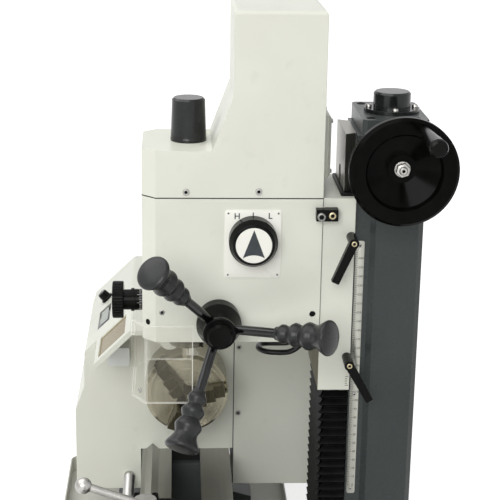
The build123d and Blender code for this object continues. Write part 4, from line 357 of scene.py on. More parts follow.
# dark finishes: colour, worn edges, roughness, grain and its strength, mirror
darkFinishes = {
    "blackenedSteel": ((0.0032, 0.0032, 0.0029), (0.06, 0.06, 0.06), 0.12, 900, 0.03, 0.06),
    "rodSteel": ((0.002, 0.002, 0.002), (0.03, 0.03, 0.03), 0.02, 900, 0.01, 0.42),
    "blackIron": ((0.0016, 0.0016, 0.0013), (0.008, 0.008, 0.007), 0.07, 200, 0.02, 0.035),
    "blackPlastic": ((0.0035, 0.0035, 0.0032), (0.02, 0.02, 0.02), 0.14, 1500, 0.03, 0.08),
    "capPlastic": ((0.0085, 0.0095, 0.0095), (0.04, 0.04, 0.04), 0.12, 1200, 0.02, 0.34),
    "gripRubber": ((0.017, 0.0178, 0.0176), (0.05, 0.052, 0.052), 0.22, 1300, 0.05, 0.24),
    "bellowsRubber": ((0.0035, 0.0036, 0.0034), (0.03, 0.03, 0.03), 0.36, 800, 0.06, 0.12),
    "beltRubber": ((0.012, 0.012, 0.012), (0.04, 0.04, 0.04), 0.55, 600, 0.2),
    "cableJacket": ((0.004, 0.004, 0.0042), (0.02, 0.02, 0.02), 0.24, 900, 0.05, 0.25),
    # near-black: black rubber and plugs, and painted shade on socket floors and in the tilt joint's gap
    "socketDark": ((0.003, 0.003, 0.003), (0.01, 0.01, 0.01), 0.4, 900, 0.05, 0.1),
    # slate ink: print, and the painted shade on the motor box's seam
    "slateInk": ((0.03, 0.036, 0.04), (0.06, 0.06, 0.065), 0.4, 900, 0.03),
    "markInk": ((0.012, 0.012, 0.012), (0.03, 0.03, 0.03), 0.5, 900, 0.03),
    "displayGlass": ((0.012, 0.013, 0.013), (0.03, 0.03, 0.03), 0.08, 400, 0),
}
# sheets: colour, rim colour as a painted highlight, veil, veil at the rim, rim width in metres, roughness
sheets = {
    "clearSheet": ((0.66, 0.62, 0.5), (0.87, 0.865, 0.8), 0.038, 0.86, 0.0019, 0.03),
    "amberSheet": ((0.25, 0.175, 0.042), (0.36, 0.28, 0.13), 0.8, 0.9, 0.0012, 0.05),
}
finishes = {}
for maker, rows in ((paint, paints), (ground, groundMetals), (turned, turnedMetals), (dark, darkFinishes),
                    (sheet, sheets)):
    for name, row in rows.items():
        finishes[name] = maker(name, *row)
print("finishes:", len(finishes))

nodeFinish = {
    "ivoryPaint": "headstock motor_housing gear_cover mill_head head_cover mill_saddle tailstock apron "
                  "chuck_guard",
    "greyPaint": "column_cap column_bracket",
    "columnPaintAndDovetail": "column",
    "bedPaintAndWays": "bed",
    "trayPaint": "chip_tray",
    "motorPaint": "mill_motor",
    "groundIron": "carriage compound_base",
    "slideIron": "cross_slide top_slide",
    "chuckSteel": "chuck_body lathe_spindle spindle_pulley spindle_bearings",
    "jawSteel": "chuck_jaw_1 chuck_jaw_2 chuck_jaw_3",
    "tailSteel": "tailstock_quill",
    "quillSteel": "mill_quill mill_spindle",
    "liftSteel": "lift_screw",
    "pulleySteel": "motor_pulley",
    "leadSteel": "leadscrew",
    "rodSteel": "capstan_rods",
    "blackenedSteel": "tool_post capstan_hub feed_flange fine_feed_knob tilt_stop clamp_lever_upper "
                      "clamp_lever_lower",
    "blackIron": "lift_wheel apron_wheel tailstock_wheel",
    "blackPlastic": "lift_handle gear_knob speed_knob",
    "capPlastic": "drawbar_cap lift_bearing_cap",
    "gripRubber": "capstan_grips",
    "bellowsRubber": "bellows",
    "beltRubber": "drive_belt",
    "cableJacket": "head_cable cable_glands",
    "clearSheet": "mill_guard",
    "amberSheet": "chuck_guard_window",
    "screwSteel": "cross_feed_crank top_slide_crank half_nut_lever tool_post_lever tailstock_lever",
}
for finish, names in nodeFinish.items():
    for name in names.split():
        for slot in nodes[name].material_slots:
            slot.material = finishes[finish]
print("nodes without a finish:", sorted(set(nodes) - set(" ".join(nodeFinish.values()).split())))


# a place in mm: its z axis along the facing, its y axis upward
def seat(point, facing=right, upward=up):
    z = Vector(facing).normalized()
    x = Vector(upward).cross(z).normalized()
    y = z.cross(x)
    return Matrix.Translation(Vector(point) * mm) @ Matrix((x, y, z)).transposed().to_4x4()


def finished(name, mesh, finish, body, slot, sharp=32):
    piece = bpy.data.objects.new(name, mesh)
    scene.collection.objects.link(piece)
    if not mesh.materials:
        mesh.materials.append(finishes[finish])
    for face in mesh.polygons:
        face.use_smooth = True
    mesh.set_sharp_from_angle(angle=math.radians(sharp))
    if body:
        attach(piece, body)
    return piece


def meshFrom(name, bm):
    mesh = bpy.data.meshes.new(name)
    bm.to_mesh(mesh)
    bm.free()
    return mesh


def dressed(name, bm, finish, body, slot):
    return finished(name, meshFrom(name, bm), finish, body, slot)


# the mesh that a curve, text or node tree gives; its holder goes
def meshOf(holder):
    scene.collection.objects.link(holder)
    bpy.context.view_layer.update()
    mesh = bpy.data.meshes.new_from_object(holder.evaluated_get(bpy.context.evaluated_depsgraph_get()))
    bpy.data.objects.remove(holder)
    return mesh


def circleOf(radius, steps, turn=0.0):
    angles = [math.tau * i / steps + turn for i in range(steps)]
    return [(radius * math.cos(a), radius * math.sin(a)) for a in angles]


def roundedBox(width, height, corner, steps=6):
    points = []
    x, y = width / 2 - corner, height / 2 - corner
    for cx, cy, start in ((x, y, 0), (-x, y, 90), (-x, -y, 180), (x, -y, 270)):
        for i in range(steps + 1):
            a = math.radians(start + 90 * i / steps)
            points.append((cx + corner * math.cos(a), cy + corner * math.sin(a)))
    return points


# an outline moved inwards by the gap
def drawnIn(points, gap):
    moved = []
    for i, (x, y) in enumerate(points):
        (px, py), (nx, ny) = points[i - 1], points[(i + 1) % len(points)]
        come, leave = Vector((x - px, y - py)).normalized(), Vector((nx - x, ny - y)).normalized()
        bend = 1 + come.dot(leave)
        moved.append((x - (come.y + leave.y) * gap / bend, y + (come.x + leave.x) * gap / bend))
    return moved


# faces between two rings of corners, or a ring and a pole
def skinInto(bm, low, high):
    count = max(len(low), len(high))
    for i in range(count):
        j = (i + 1) % count
        corners = [low[i % len(low)], low[j % len(low)], high[j % len(high)], high[i % len(high)]]
        bm.faces.new(list(dict.fromkeys(corners)))


def ringInto(bm, outline, height, place):
    return [bm.verts.new(place @ (Vector((x, y, height)) * mm)) for x, y in outline]


# profile of (radius, height) in mm turned about the seat's axis; no radius makes a pole
def turnInto(bm, profile, place, steps):
    lines = [(circleOf(radius, steps) if radius else [(0, 0)], height) for radius, height in profile]
    rings = [ringInto(bm, line, height, place) for line, height in lines]
    for low, high in zip(rings, rings[1:]):
        skinInto(bm, low, high)


# flat outline in mm, raised off its seat, with its upper edge eased
def slabInto(bm, outline, thick, place, ease=0.0, start=0.0):
    low, high = ringInto(bm, outline, start, place), ringInto(bm, outline, start + thick, place)
    top = bm.faces.new(high)
    bm.faces.new(low[::-1])
    skinInto(bm, low, high)
    if ease:
        bmesh.ops.bevel(bm, geom=list(top.edges), offset=ease * mm, segments=2, affect="EDGES", profile=0.5)


def slabPiece(name, finish, body, slot, outline, thick, place, ease=0.0, start=0.0):
    bm = bmesh.new()
    slabInto(bm, outline, thick, place, ease, start)
    dressed(name, bm, finish, body, slot)


# band between two outlines that both run anticlockwise
def bandInto(bm, outer, inner, thick, place):
    sides = ((outer, 0), (outer, thick), (inner, thick), (inner, 0))
    loops = [ringInto(bm, line, height, place) for line, height in sides]
    for first, second in zip(loops, loops[1:] + loops[:1]):
        skinInto(bm, first, second)


lettering = {"thick": 0.12, "smooth": 3}


def lettersInto(bm, words, size, place, bold=0.0):
    data = bpy.data.curves.new("words", "FONT")
    data.body, data.size, data.extrude = words, size * mm, lettering["thick"] / 2 * mm
    data.align_x, data.align_y = "CENTER", "CENTER"
    data.resolution_u, data.offset = lettering["smooth"], bold * mm
    mesh = meshOf(bpy.data.objects.new("words", data))
    mesh.transform(place)
    bm.from_mesh(mesh)
    bpy.data.meshes.remove(mesh)
    bpy.data.curves.remove(data)


# geometry node trees with named inputs
class Growth(Graph):
    family = "GeometryNode"

    def __init__(self, name, sizes, counts=()):
        tree = bpy.data.node_groups.new(name, "GeometryNodeTree")
        self.labels = (*sizes, *counts)
        inputs = {
            "points": "Geometry", **dict.fromkeys(sizes, "Float"), **dict.fromkeys(counts, "Int"),
            "finish": "Material", "hollow": "Material",
        }
        for label, kind in inputs.items():
            tree.interface.new_socket(label, in_out="INPUT", socket_type="NodeSocket" + kind)
        tree.interface.new_socket("Shape", in_out="OUTPUT", socket_type="NodeSocketGeometry")
        super().__init__(tree)
        self.start = tree.nodes.new("NodeGroupInput")

    def given(self, *labels):
        wires = [Wire(self, self.start.outputs[label]) for label in labels or self.labels]
        return wires if len(wires) > 1 else wires[0]

    def close(self, shape):
        real = self.node("RealizeInstances", {}, {0: shape})
        done = self.node("SetMaterial", {}, {"Geometry": real, "Material": self.given("finish")})
        # faces marked as socket floors take the hollow finish: painted shade in the recess
        shadedSocketFloor = self.node("InputNamedAttribute", {"data_type": "BOOLEAN"}, {"Name": "shadedSocketFloor"})
        done = self.node("SetMaterial", {}, {
            "Geometry": done, "Selection": shadedSocketFloor, "Material": self.given("hollow")})
        self.tree.links.new(done.socket, self.tree.nodes.new("NodeGroupOutput").inputs[0])
        return self.tree


# whole numbers are counts, the other sizes are in mm
def grow(name, tree, sizes, finish, body, slot, place=None, seed=None, **edges):
    holder = bpy.data.objects.new(name + "Seed", seed or bpy.data.meshes.new(name + "Seed"))
    change = holder.modifiers.new("grow", "NODES")
    change.node_group = tree
    values = {label: size if isinstance(size, int) else size * mm for label, size in sizes.items()}
    # the hollow finish paints shade on the socket floors
    values.update(finish=finishes[finish], hollow=finishes["socketDark"])
    for item in tree.interface.items_tree:
        if item.name in values:
            change[item.identifier] = values[item.name]
    made = meshOf(holder)
    made.name = name
    if place:
        made.transform(place)
    return finished(name, made, finish, body, slot, **edges)


# screw heads with a hexagon socket, one along each point's facing: shares of the head's size
screwShape = {"sides": 24, "wall": 0.66, "dome": 0.34, "crown": 0.84, "sunk": 0.0001}
screwSizes = ("radius", "height", "key", "depth")


def screwTree():
    s, t = screwShape, Growth("screwHeads", screwSizes)
    radius, height, key, depth = t.given()

    def pulled(mesh, faces, reach):
        return t.node("ExtrudeMesh", {}, {
            "Mesh": mesh, "Selection": faces, "Offset Scale": reach, "Individual": False})

    body = t.node("MeshCylinder", {"fill_type": "NGON"}, {
        "Vertices": s["sides"], "Radius": radius, "Depth": height * s["wall"]}, "Mesh")
    raised = t.node("Transform", {}, {
        "Geometry": body, "Translation": t.join(z=height * (s["wall"] / 2) - s["sunk"])})
    dome = pulled(raised, body.also("Top"), height * s["dome"])
    top = dome.also("Top")
    crown = t.node("ScaleElements", {}, {"Geometry": dome, "Selection": top, "Scale": s["crown"]})
    lip = pulled(crown, top, 0.0)
    apart = t.node("ShaderNodeSeparateXYZ", {}, {0: t.node("InputPosition")})
    angle = apart.calc("ARCTAN2", apart.also("Y"), apart)
    wedge = (angle + math.pi / 6) % (math.pi / 3) - math.pi / 6
    reach = key / wedge.cosine()
    hexagon = t.node("SetPosition", {}, {
        "Geometry": lip, "Selection": lip.also("Top"),
        "Position": t.join(reach * angle.cosine(), reach * angle.sine(), apart.also("Z"))})
    head = pulled(hexagon, lip.also("Top"), 0.0 - depth)
    # the socket's floor is marked for the near-black hollow finish, painted shade in the recess
    head = t.node("StoreNamedAttribute", {"data_type": "BOOLEAN", "domain": "FACE"}, {
        "Geometry": head, "Name": "shadedSocketFloor", "Value": head.also("Top")})
    facing = t.node("InputNamedAttribute", {"data_type": "FLOAT_VECTOR"}, {"Name": "facing"})
    turn = t.node("FunctionNodeAlignRotationToVector", {"axis": "Z"}, {"Vector": facing})
    return t.close(t.node("InstanceOnPoints", {}, {
        "Points": t.given("points"), "Instance": head, "Rotation": turn}))


# index and length of each graduation, some of them longer
def tickLengths(t):
    index = t.node("InputIndex")
    short, long, every = t.given("short", "long", "every")
    return index, short + (long - short) * (index % every < 0.5)


# graduations round a drum
def dialTree():
    t = Growth("dialTicks", ("radius", "short", "long", "width", "relief"), ("count", "every"))
    reach, count = t.given("radius", "count")
    index, length = tickLengths(t)
    angle = index * math.tau / count
    ring = t.node("SetPosition", {}, {
        "Geometry": t.node("MeshLine", {}, {"Count": count}),
        "Position": t.join(reach * angle.cosine(), reach * angle.sine(), length * 0.5)})
    bar = t.node("MeshCube", {}, {"Size": t.join(*t.given("relief", "width"), 1.0)})
    return t.close(t.node("InstanceOnPoints", {}, {
        "Points": ring, "Instance": bar, "Rotation": t.join(z=angle), "Scale": t.join(1.0, 1.0, length)}))


# graduations up a straight rule
def ruleTree():
    t = Growth("ruleTicks", ("pitch", "short", "long", "width", "relief"), ("count", "every"))
    index, length = tickLengths(t)
    row = t.node("SetPosition", {}, {
        "Geometry": t.node("MeshLine", {}, {"Count": t.given("count")}),
        "Position": t.join(length * 0.5, index * t.given("pitch"))})
    bar = t.node("MeshCube", {}, {"Size": t.join(1.0, *t.given("width", "relief"))})
    return t.close(t.node("InstanceOnPoints", {}, {
        "Points": row, "Instance": bar, "Scale": t.join(length, 1.0, 1.0)}))


# a sharp thread wound on its core: points to a turn, corners of its ridge
threadShape = {"steps": 14, "corners": 4}


def threadTree():
    s, t = threadShape, Growth("screwThread", ("length", "pitch", "core", "ridge"))
    length, pitch, core, ridge = t.given()
    coil = t.node("CurveSpiral", {}, {
        "Resolution": s["steps"], "Rotations": length / pitch, "Height": length,
        "Start Radius": core, "End Radius": core})
    upright = t.node("SetCurveNormal", {"mode": "Z_UP"}, {"Curve": coil})
    tooth = t.node("CurvePrimitiveCircle", {}, {"Resolution": s["corners"], "Radius": ridge})
    return t.close(t.node("CurveToMesh", {}, {
        "Curve": upright, "Profile Curve": tooth, "Fill Caps": True}))


# a zigzag wall carried along the path of its seed
def pleatTree():
    t = Growth("bellowsPleats", ("height", "fold", "wall"), ("pleats",))
    height, fold, wall, pleats = t.given()
    rows = pleats * 2 + 1
    index = t.node("InputIndex")
    isBack = index > rows - 0.5
    row = index * (1 - isBack) + (rows * 2 - 1 - index) * isBack
    zigzag = t.node("SetPosition", {}, {
        "Geometry": t.node("MeshLine", {}, {"Count": rows * 2}),
        "Position": t.join(0 - fold * (row % 2) - wall * isBack, 0 - row * height / (pleats * 2))})
    wallLine = t.node("SetSplineCyclic", {}, {
        "Geometry": t.node("MeshToCurve", {}, {"Mesh": zigzag}), "Cyclic": True})
    path = t.node("SetCurveNormal", {"mode": "Z_UP"}, {
        "Curve": t.node("MeshToCurve", {}, {"Mesh": t.given("points")})})
    return t.close(t.node("CurveToMesh", {}, {
        "Curve": path, "Profile Curve": wallLine, "Fill Caps": True}))


screwHeads, dialTicks, ruleTicks = screwTree(), dialTree(), ruleTree()
screwThread, bellowsPleats = threadTree(), pleatTree()
print("trees:", len(bpy.data.node_groups))


# head radius and height, key half width and depth; each spot is a point and its facing
def screws(name, body, finish, sizes, spots, slot="steel"):
    seed = bpy.data.meshes.new(name + "Seed")
    seed.from_pydata([Vector(point) * mm for point, facing in spots], [], [])
    facings = seed.attributes.new("facing", "FLOAT_VECTOR", "POINT")
    facings.data.foreach_set("vector", [c for point, facing in spots for c in facing])
    grow(name, screwHeads, dict(zip(screwSizes, sizes)), finish, body, slot, seed=seed)


# cable looping under the head: its route as laid in the solid, in mm
cable = {
    "route": (
        (-55.5, 129.5, 390), (-55.5, 129.5, 372), (-55.5, 115.5, 358), (-54.5, 101.1, 357.4),
        (-55.5, 86.7, 358), (-63.7, 78.5, 358.6), (-75.3, 78.5, 358.6), (-83.5, 86.7, 358),
        (-84.5, 101.1, 357.4), (-83.5, 115.5, 358), (-83.5, 129.5, 372), (-83.5, 129.5, 390),
    ),
    "thick": 6.2, "length": 163.3, "smooth": 12, "sides": 5,
}


def makeCable():
    c = cable
    data = bpy.data.curves.new("head_loop", "CURVE")
    data.dimensions = "3D"
    line = data.splines.new("NURBS")
    line.points.add(len(c["route"]) - 1)
    for point, place in zip(line.points, c["route"]):
        point.co = (*(Vector(place) * mm), 1)
    line.order_u = 3
    line.use_endpoint_u = True
    line.resolution_u = c["smooth"]
    data.bevel_depth = c["thick"] / 2 * mm
    data.bevel_resolution = c["sides"]
    data.use_fill_caps = True
    data.materials.append(finishes["cableJacket"])
    piece = bpy.data.objects.new("head_loop", data)
    scene.collection.objects.link(piece)
    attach(piece, "head")
    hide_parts("head_cable")


makeCable()
print("cable laid")

# gear range plate on the head's side: y and z in mm on the face at x
gearPlate = {
    "x": 4.0, "middle": (66.25, 499.6), "size": (58.5, 73.0), "corner": 3.2, "thick": 1.1, "ease": 0.3,
    "letters": {"H": (49.6, 529.2), "L": (83.5, 529.5)}, "letter": 8.8, "bold": 0.16,
    "tickAt": (66.0, 531.0), "tick": (1.1, 5.0, 0.3), "tickThick": 0.06,
    "rivet": (1.2, 0.6, 0.6, 0.3), "inset": 3.6,
}


def makeGearPlate():
    p = gearPlate
    (y, z), (wide, high), face = p["middle"], p["size"], p["x"] + p["thick"]
    slabPiece("gear_plate", "plateWhite", "head", "ivory_paint", roundedBox(wide, high, p["corner"]),
              p["thick"], seat((p["x"], y, z)), p["ease"])
    bm = bmesh.new()
    for letter, spot in p["letters"].items():
        lettersInto(bm, letter, p["letter"], seat((face, *spot)), p["bold"])
    slabInto(bm, roundedBox(*p["tick"]), p["tickThick"], seat((face, *p["tickAt"])))
    dressed("gear_plate_marks", bm, "slateInk", "head", "black_plastic")
    dy, dz = wide / 2 - p["inset"], high / 2 - p["inset"]
    spots = [((face, y + a * dy, z + b * dz), right) for a in (-1, 1) for b in (-1, 1)]
    screws("gear_plate_rivets", "head", "screwSteel", p["rivet"], spots)


makeGearPlate()

# white face and arrow of the range knob
knobFace = {
    "x": 28.3, "axis": (66.0, 505.0), "radius": 18.5, "thick": 0.5, "sunk": 0.3, "ease": (0.2, 0.15),
    "steps": 64, "tip": 16.6, "tail": -13.2, "half": 11.2, "notch": 3.2, "notchSteps": 12, "arrowThick": 0.15,
}


def makeKnobFace():
    k = knobFace
    place = seat((k["x"], *k["axis"]))
    radius, thick, sunk, (inward, drop) = k["radius"], k["thick"], k["sunk"], k["ease"]
    bm = bmesh.new()
    turnInto(bm, [(0, -sunk), (radius, -sunk), (radius, thick - drop), (radius - inward, thick), (0, thick)],
             place, k["steps"])
    dressed("gear_knob_face", bm, "plateWhite", "gear_knob", "ivory_paint")
    across = [2 * i / k["notchSteps"] - 1 for i in range(k["notchSteps"] + 1)]
    hollow = [(k["half"] * s, k["tail"] + k["notch"] * (1 - s ** 2)) for s in across]
    slabPiece("gear_knob_arrow", "slateInk", "gear_knob", "black_plastic", [(0, k["tip"])] + hollow,
              k["arrowThick"], place, start=thick)


makeKnobFace()
print("range knob and plate done")

# screws: body, finish, sizes, spots
postX, postY = 173, -42
postScrews = ((22, 9), (22, -9), (-22, 9), (-22, -9), (9, 22), (-9, 22), (9, -22), (-9, -22))
screwSets = {
    "cover_screws": ("head", "screwSteel", (3.5, 2.4, 1.7, 1.8), [
        ((x, y, z), facing) for x, facing in ((4, right), (-104, left))
        for y, z in ((-2.8, 554.6), (71.3, 555.3))]),
    "wiring_box_screws": ("head", "screwSteel", (2.4, 1.8, 1.1, 1.0), [
        ((x, 146.6, z), rear) for x in (-89, -26) for z in (570, 623)]),
    "head_set_screws": ("head", "dullSteel", (2.9, 0.5, 1.5, 0.4), [
        ((4, -27.3, 425), right), ((-104, -27.3, 425), left)]),
    "head_corner_plug": ("head", "socketDark", (3.1, 0.6, 1.4, 0.5), [
        ((-4, -42, 412), (0.7071, -0.7071, 0))]),
    "head_bung": ("head", "socketDark", (4.4, 0.8, 2.0, 0.6), [((1.5, 130, 422), right)]),
    "tilt_stop_bolt": ("saddle", "dullSteel", (4.4, 3.0, 2.5, 2.4), [((14, 135.2, 531.5), right)]),
    "tilt_stop_screw": ("saddle", "brass", (3.7, 1.0, 2.0, 2.4), [((14, 146.5, 532.4), right)]),
    "clamp_upper_screw": ("clamp_upper", "brass", (2.8, 0.7, 1.5, 2.4), [((30.4, 167.8, 507.3), right)]),
    "clamp_lower_screw": ("clamp_lower", "brass", (2.8, 0.7, 1.5, 2.4), [((30.4, 167.8, 374.6), right)]),
    "bearing_cap_screws": ("frame", "screwSteel", (3.2, 3.0, 1.5, 1.8), [
        ((-50 + 24.3 * a, 212 + 24.3 * b, 633), up) for a, b in ((1, 0), (-1, 0), (0, 1), (0, -1))]),
    "column_cap_bolts": ("frame", "socketDark", (4.6, 0.7, 2.4, 0.5), [
        ((x, y, 629), up) for x in (-89, -11) for y in (185, 232)]),
    "column_foot_bolts": ("frame", "blackenedSteel", (4.4, 5.0, 2.3, 3.0), [
        ((x, y, 136), up) for x in (-106, 6) for y in (178, 214, 250)]),
    "motor_box_screws": ("frame", "dullSteel", (3.2, 2.2, 1.5, 1.4), [
        ((-255, y, z), right) for y in (66, 171) for z in (199, 288)]),
    "gear_cover_screws": ("frame", "blackenedSteel", (4.0, 3.2, 1.9, 2.0), [
        ((-468, y, z), facing) for y, facing, z in (
            (-125.4, front, 130), (-125.4, front, 250), (175, rear, 130), (175, rear, 285))]),
    "tool_clamp_screws": ("tool_post", "blackenedSteel", (3.7, 8.0, 1.9, 3.5), [
        ((postX + a, postY + b, 283), up) for a, b in postScrews]),
    "cross_gib_screws": ("cross_slide", "blackenedSteel", (2.6, 1.6, 1.3, 1.0), [
        ((240, y, 179), right) for y in (-80, -30, 20, 70)]),
    "apron_screws": ("carriage", "blackenedSteel", (3.2, 2.6, 1.6, 1.6), [
        ((x, -112, z), front) for x in (143, 247) for z in (88, 140)]),
    "tail_base_screws": ("tailstock", "blackenedSteel", (3.0, 2.2, 1.5, 1.4), [
        ((x, -52, 159), front) for x in (392, 443)]),
    "guard_button": ("mill_guard", "screwSteel", (2.8, 1.4, 1.3, 0.8), [
        ((5.9, -50.7, 339), (0.53, -0.848, 0))]),
}
for name, (body, finish, sizes, spots) in screwSets.items():
    screws(name, body, finish, sizes, spots, "steel" if finish in groundMetals else "blackened_steel")
print("screws:", sum(len(s[-1]) for s in screwSets.values()))

# gasket under the head's cover: plan of the head, in mm
gasket = {
    "plan": [(-90, -48), (-10, -48), (4, -34), (4, 137.6), (-104, 137.6), (-104, -34)],
    "z": 547.5, "thick": 1.0, "proud": 0.2, "width": 2.6,
}


def makeGasket():
    g = gasket
    bm = bmesh.new()
    bandInto(bm, drawnIn(g["plan"], -g["proud"]), drawnIn(g["plan"], g["width"]), g["thick"],
             seat((0, 0, g["z"]), up, rear))
    dressed("cover_gasket", bm, "socketDark", "head", "black_rubber")


makeGasket()

# rubber wiper over the saddle, round the dovetail: plan in mm
wiper = {
    "z": 548.0, "thick": 3.6, "ease": 0.8,
    "plan": [(-94, 171.3), (-94, 158.4), (-92.6, 157), (-7.4, 157), (-6, 158.4), (-6, 171.3), (-17.4, 171.3),
             (-10.4, 158.8), (-89.6, 158.8), (-82.6, 171.3)],
}
slabPiece("saddle_wiper", "bellowsRubber", "saddle", "black_rubber", wiper["plan"], wiper["thick"],
          seat((0, 0, wiper["z"]), up, rear), wiper["ease"])

# lip of the gear cover, closing its edge over the motor housing's roof: y and z in mm
coverLip = {
    "x": -457.3, "thick": 2.2, "outline": [(48, 320), (126, 320), (126, 323), (60, 334.5), (48, 334.5)],
}
slabPiece("gear_cover_lip", "ivoryPaint", "frame", "ivory_paint", coverLip["outline"], coverLip["thick"],
          seat((coverLip["x"], 0, 0)))

# painted shade before the saddle: a dark strip in the tilt joint for the shade in its gap, and a brown pad
# whose colour paints the shade and brown reflection under the head; a dark strip on the motor box's seam for
# the shade in its groove; switch under the chuck guard:
# finish, body, slot, (width, height, corner), thickness, eased edge, point and facing in mm
plates = {
    "tilt_shim": (
        "socketDark", "saddle", "blackened_steel", (107.7, 156, 1), 0.34, 0, (-50, 137.98, 470), front),
    "tilt_pad": ("swivelIron", "saddle", "steel", (105.6, 53, 1), 0.3, 0, (-50, 137.98, 364.5), front),
    "box_seam": ("slateInk", "frame", "black_rubber", (1.1, 222, 0.4), 0.3, 0, (-255.1, 60, 212), right),
    "guard_switch": (
        "switchGrey", "frame", "ivory_paint", (27, 24, 2), 24, 1.2, (-255.2, -83, 284), right),
}
for name, (finish, body, slot, size, thick, ease, point, facing) in plates.items():
    slabPiece(name, finish, body, slot, roundedBox(*size), thick, seat(point, facing), ease)

# height scale on the column: y and z in mm, numbered every ten
scaleStrip = {
    "x": -4.0, "y": (173.6, 183.1), "z": (212.0, 501.0), "corner": 2.2, "thick": 0.6, "ease": 0.15,
    "ticks": {"every": 5, "pitch": 2.0, "short": 2.4, "long": 3.8, "width": 0.4, "relief": 0.12},
    "margin": 10.0, "tickInset": 0.5, "figure": 3.4, "figureInset": 2.9,
    "screw": (2.0, 1.0, 0.9, 0.7), "screws": ((178.4, 495.5), (178.4, 329.0), (178.4, 217.5)),
}


def makeScale():
    s = scaleStrip
    (y0, y1), (z0, z1), face = s["y"], s["z"], s["x"] + s["thick"]
    slabPiece("height_scale", "scaleMetal", "frame", "steel", roundedBox(y1 - y0, z1 - z0, s["corner"]),
              s["thick"], seat((s["x"], (y0 + y1) / 2, (z0 + z1) / 2)), s["ease"])
    pitch, start = s["ticks"]["pitch"], z0 + s["margin"]
    count = int((z1 - z0 - 2 * s["margin"]) / pitch)
    grow("height_scale_ticks", ruleTicks, {**s["ticks"], "count": count}, "markInk", "frame", "black_plastic",
         seat((face, y0 + s["tickInset"], start)))
    bm = bmesh.new()
    for i in range(0, count, s["ticks"]["every"]):
        place = seat((face, y1 - s["figureInset"], start + i * pitch))
        lettersInto(bm, str(int(i * pitch)), s["figure"], place)
    dressed("height_scale_figures", bm, "markInk", "frame", "black_plastic")
    spots = [((face, y, z), right) for y, z in s["screws"]]
    screws("height_scale_screws", "frame", "screwSteel", s["screw"], spots)


makeScale()
print("scale done")

# washer, nut and stud end on the lift wheel, facing along x
liftNut = {
    "x": 36.0, "axis": (212, 587), "washer": (8.2, 1.6), "bore": 3.9, "rim": 0.3, "washerSteps": 40,
    "across": 7.4, "turn": 0.3, "height": 6.0, "ease": 0.7,
    "stud": 4.15, "studEnd": 46.4, "bevel": 0.8, "dimple": (1.7, 1.0), "studSteps": 32,
}


def makeLiftNut():
    n = liftNut
    place = seat((n["x"], *n["axis"]))
    (wide, thick), bore, rim = n["washer"], n["bore"], n["rim"]
    stud, end, bevel, (dimple, deep) = n["stud"], n["studEnd"] - n["x"], n["bevel"], n["dimple"]
    bm = bmesh.new()
    turnInto(bm, [(bore, 0), (wide, 0), (wide, thick - rim), (wide - rim, thick), (bore, thick)],
             place, n["washerSteps"])
    slabInto(bm, circleOf(n["across"], 6, n["turn"]), n["height"], place, n["ease"], thick)
    turnInto(bm, [(stud, thick), (stud, end - bevel), (stud - bevel, end), (dimple, end),
                  (dimple, end - deep), (0, end - deep)], place, n["studSteps"])
    dressed("lift_nut", bm, "screwSteel", "lift_wheel", "steel")


makeLiftNut()

# rubber grips on the capstan rods: (distance along the rod, radius) in mm
capstanGrips = {
    "root": (29.6, 31.6, 417), "lean": 34.7, "turn": 8.7, "count": 3, "steps": 64, "between": 6,
    "profile": [
        (68.5, 5), (68.6, 6.3), (69.4, 6.95), (70.8, 7), (72.2, 7.5), (76.8, 9.8), (81.6, 8.5),
        (83.6, 7.8), (85.8, 9.1), (91, 12.2), (96.4, 10.5), (98.6, 9.4), (101, 11.1), (106.8, 14.1),
        (112.4, 12.6), (115, 11.9), (119, 12.8), (124, 15.6), (127.4, 17.5), (129.2, 17.8),
        (130.9, 17.1), (132.4, 15), (133.6, 10.6), (134.3, 5.3), (134.5, 0),
    ],
}


# the points joined by an even curve
def smoothLine(points, between):
    spots = [Vector(p) for p in points]
    slopes = [(b - a) / 2 for a, b in zip([spots[0]] + spots[:-1], spots[1:] + [spots[-1]])]
    line = []
    for i in range(len(spots) - 1):
        part = geometry.interpolate_bezier(
            spots[i], spots[i] + slopes[i] / 3, spots[i + 1] - slopes[i + 1] / 3, spots[i + 1], between + 1)
        line += part[:-1]
    return line + spots[-1:]


def makeCapstanGrips():
    c = capstanGrips
    lean = math.radians(c["lean"])
    line = [(max(p.y, 0.0), p.x) for p in smoothLine([(s, r, 0) for s, r in c["profile"]], c["between"])]
    bm = bmesh.new()
    for i in range(c["count"]):
        turn = math.radians(c["turn"] + 360 / c["count"] * i)
        along = (math.sin(lean), math.cos(lean) * math.cos(turn), math.cos(lean) * math.sin(turn))
        turnInto(bm, line, seat(c["root"], along), c["steps"])
    piece = dressed("capstan_grip_rubber", bm, "gripRubber", "capstan", "black_rubber")
    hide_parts("capstan_grips")


makeCapstanGrips()
print("grips done")

# pleated cover of the column, from its foot to the saddle
bellows = {
    "x": (-100, 0), "y": (139.5, 171.2), "z": (136.5, 336.5), "corner": 2.5,
    "fold": 7.0, "pleats": 22, "wall": 0.9, "sharp": 20,
}


def makeBellows():
    b = bellows
    (x0, x1), (y0, y1), (z0, z1), c = b["x"], b["y"], b["z"], b["corner"]
    plan = [(x0, y1), (x0, y0 + c), (x0 + c, y0), (x1 - c, y0), (x1, y0 + c), (x1, y1)]
    seed = bpy.data.meshes.new("bellowsSeed")
    edges = [(i, i + 1) for i in range(len(plan) - 1)]
    seed.from_pydata([Vector((x, y, z0)) * mm for x, y in plan], edges, [])
    sizes = {"height": z1 - z0, "fold": b["fold"], "wall": b["wall"], "pleats": b["pleats"]}
    piece = grow("column_bellows", bellowsPleats, sizes, "bellowsRubber", None, "black_rubber",
                 seed=seed, sharp=b["sharp"])
    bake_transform(piece)
    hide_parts("bellows")


makeBellows()
print("bellows done")

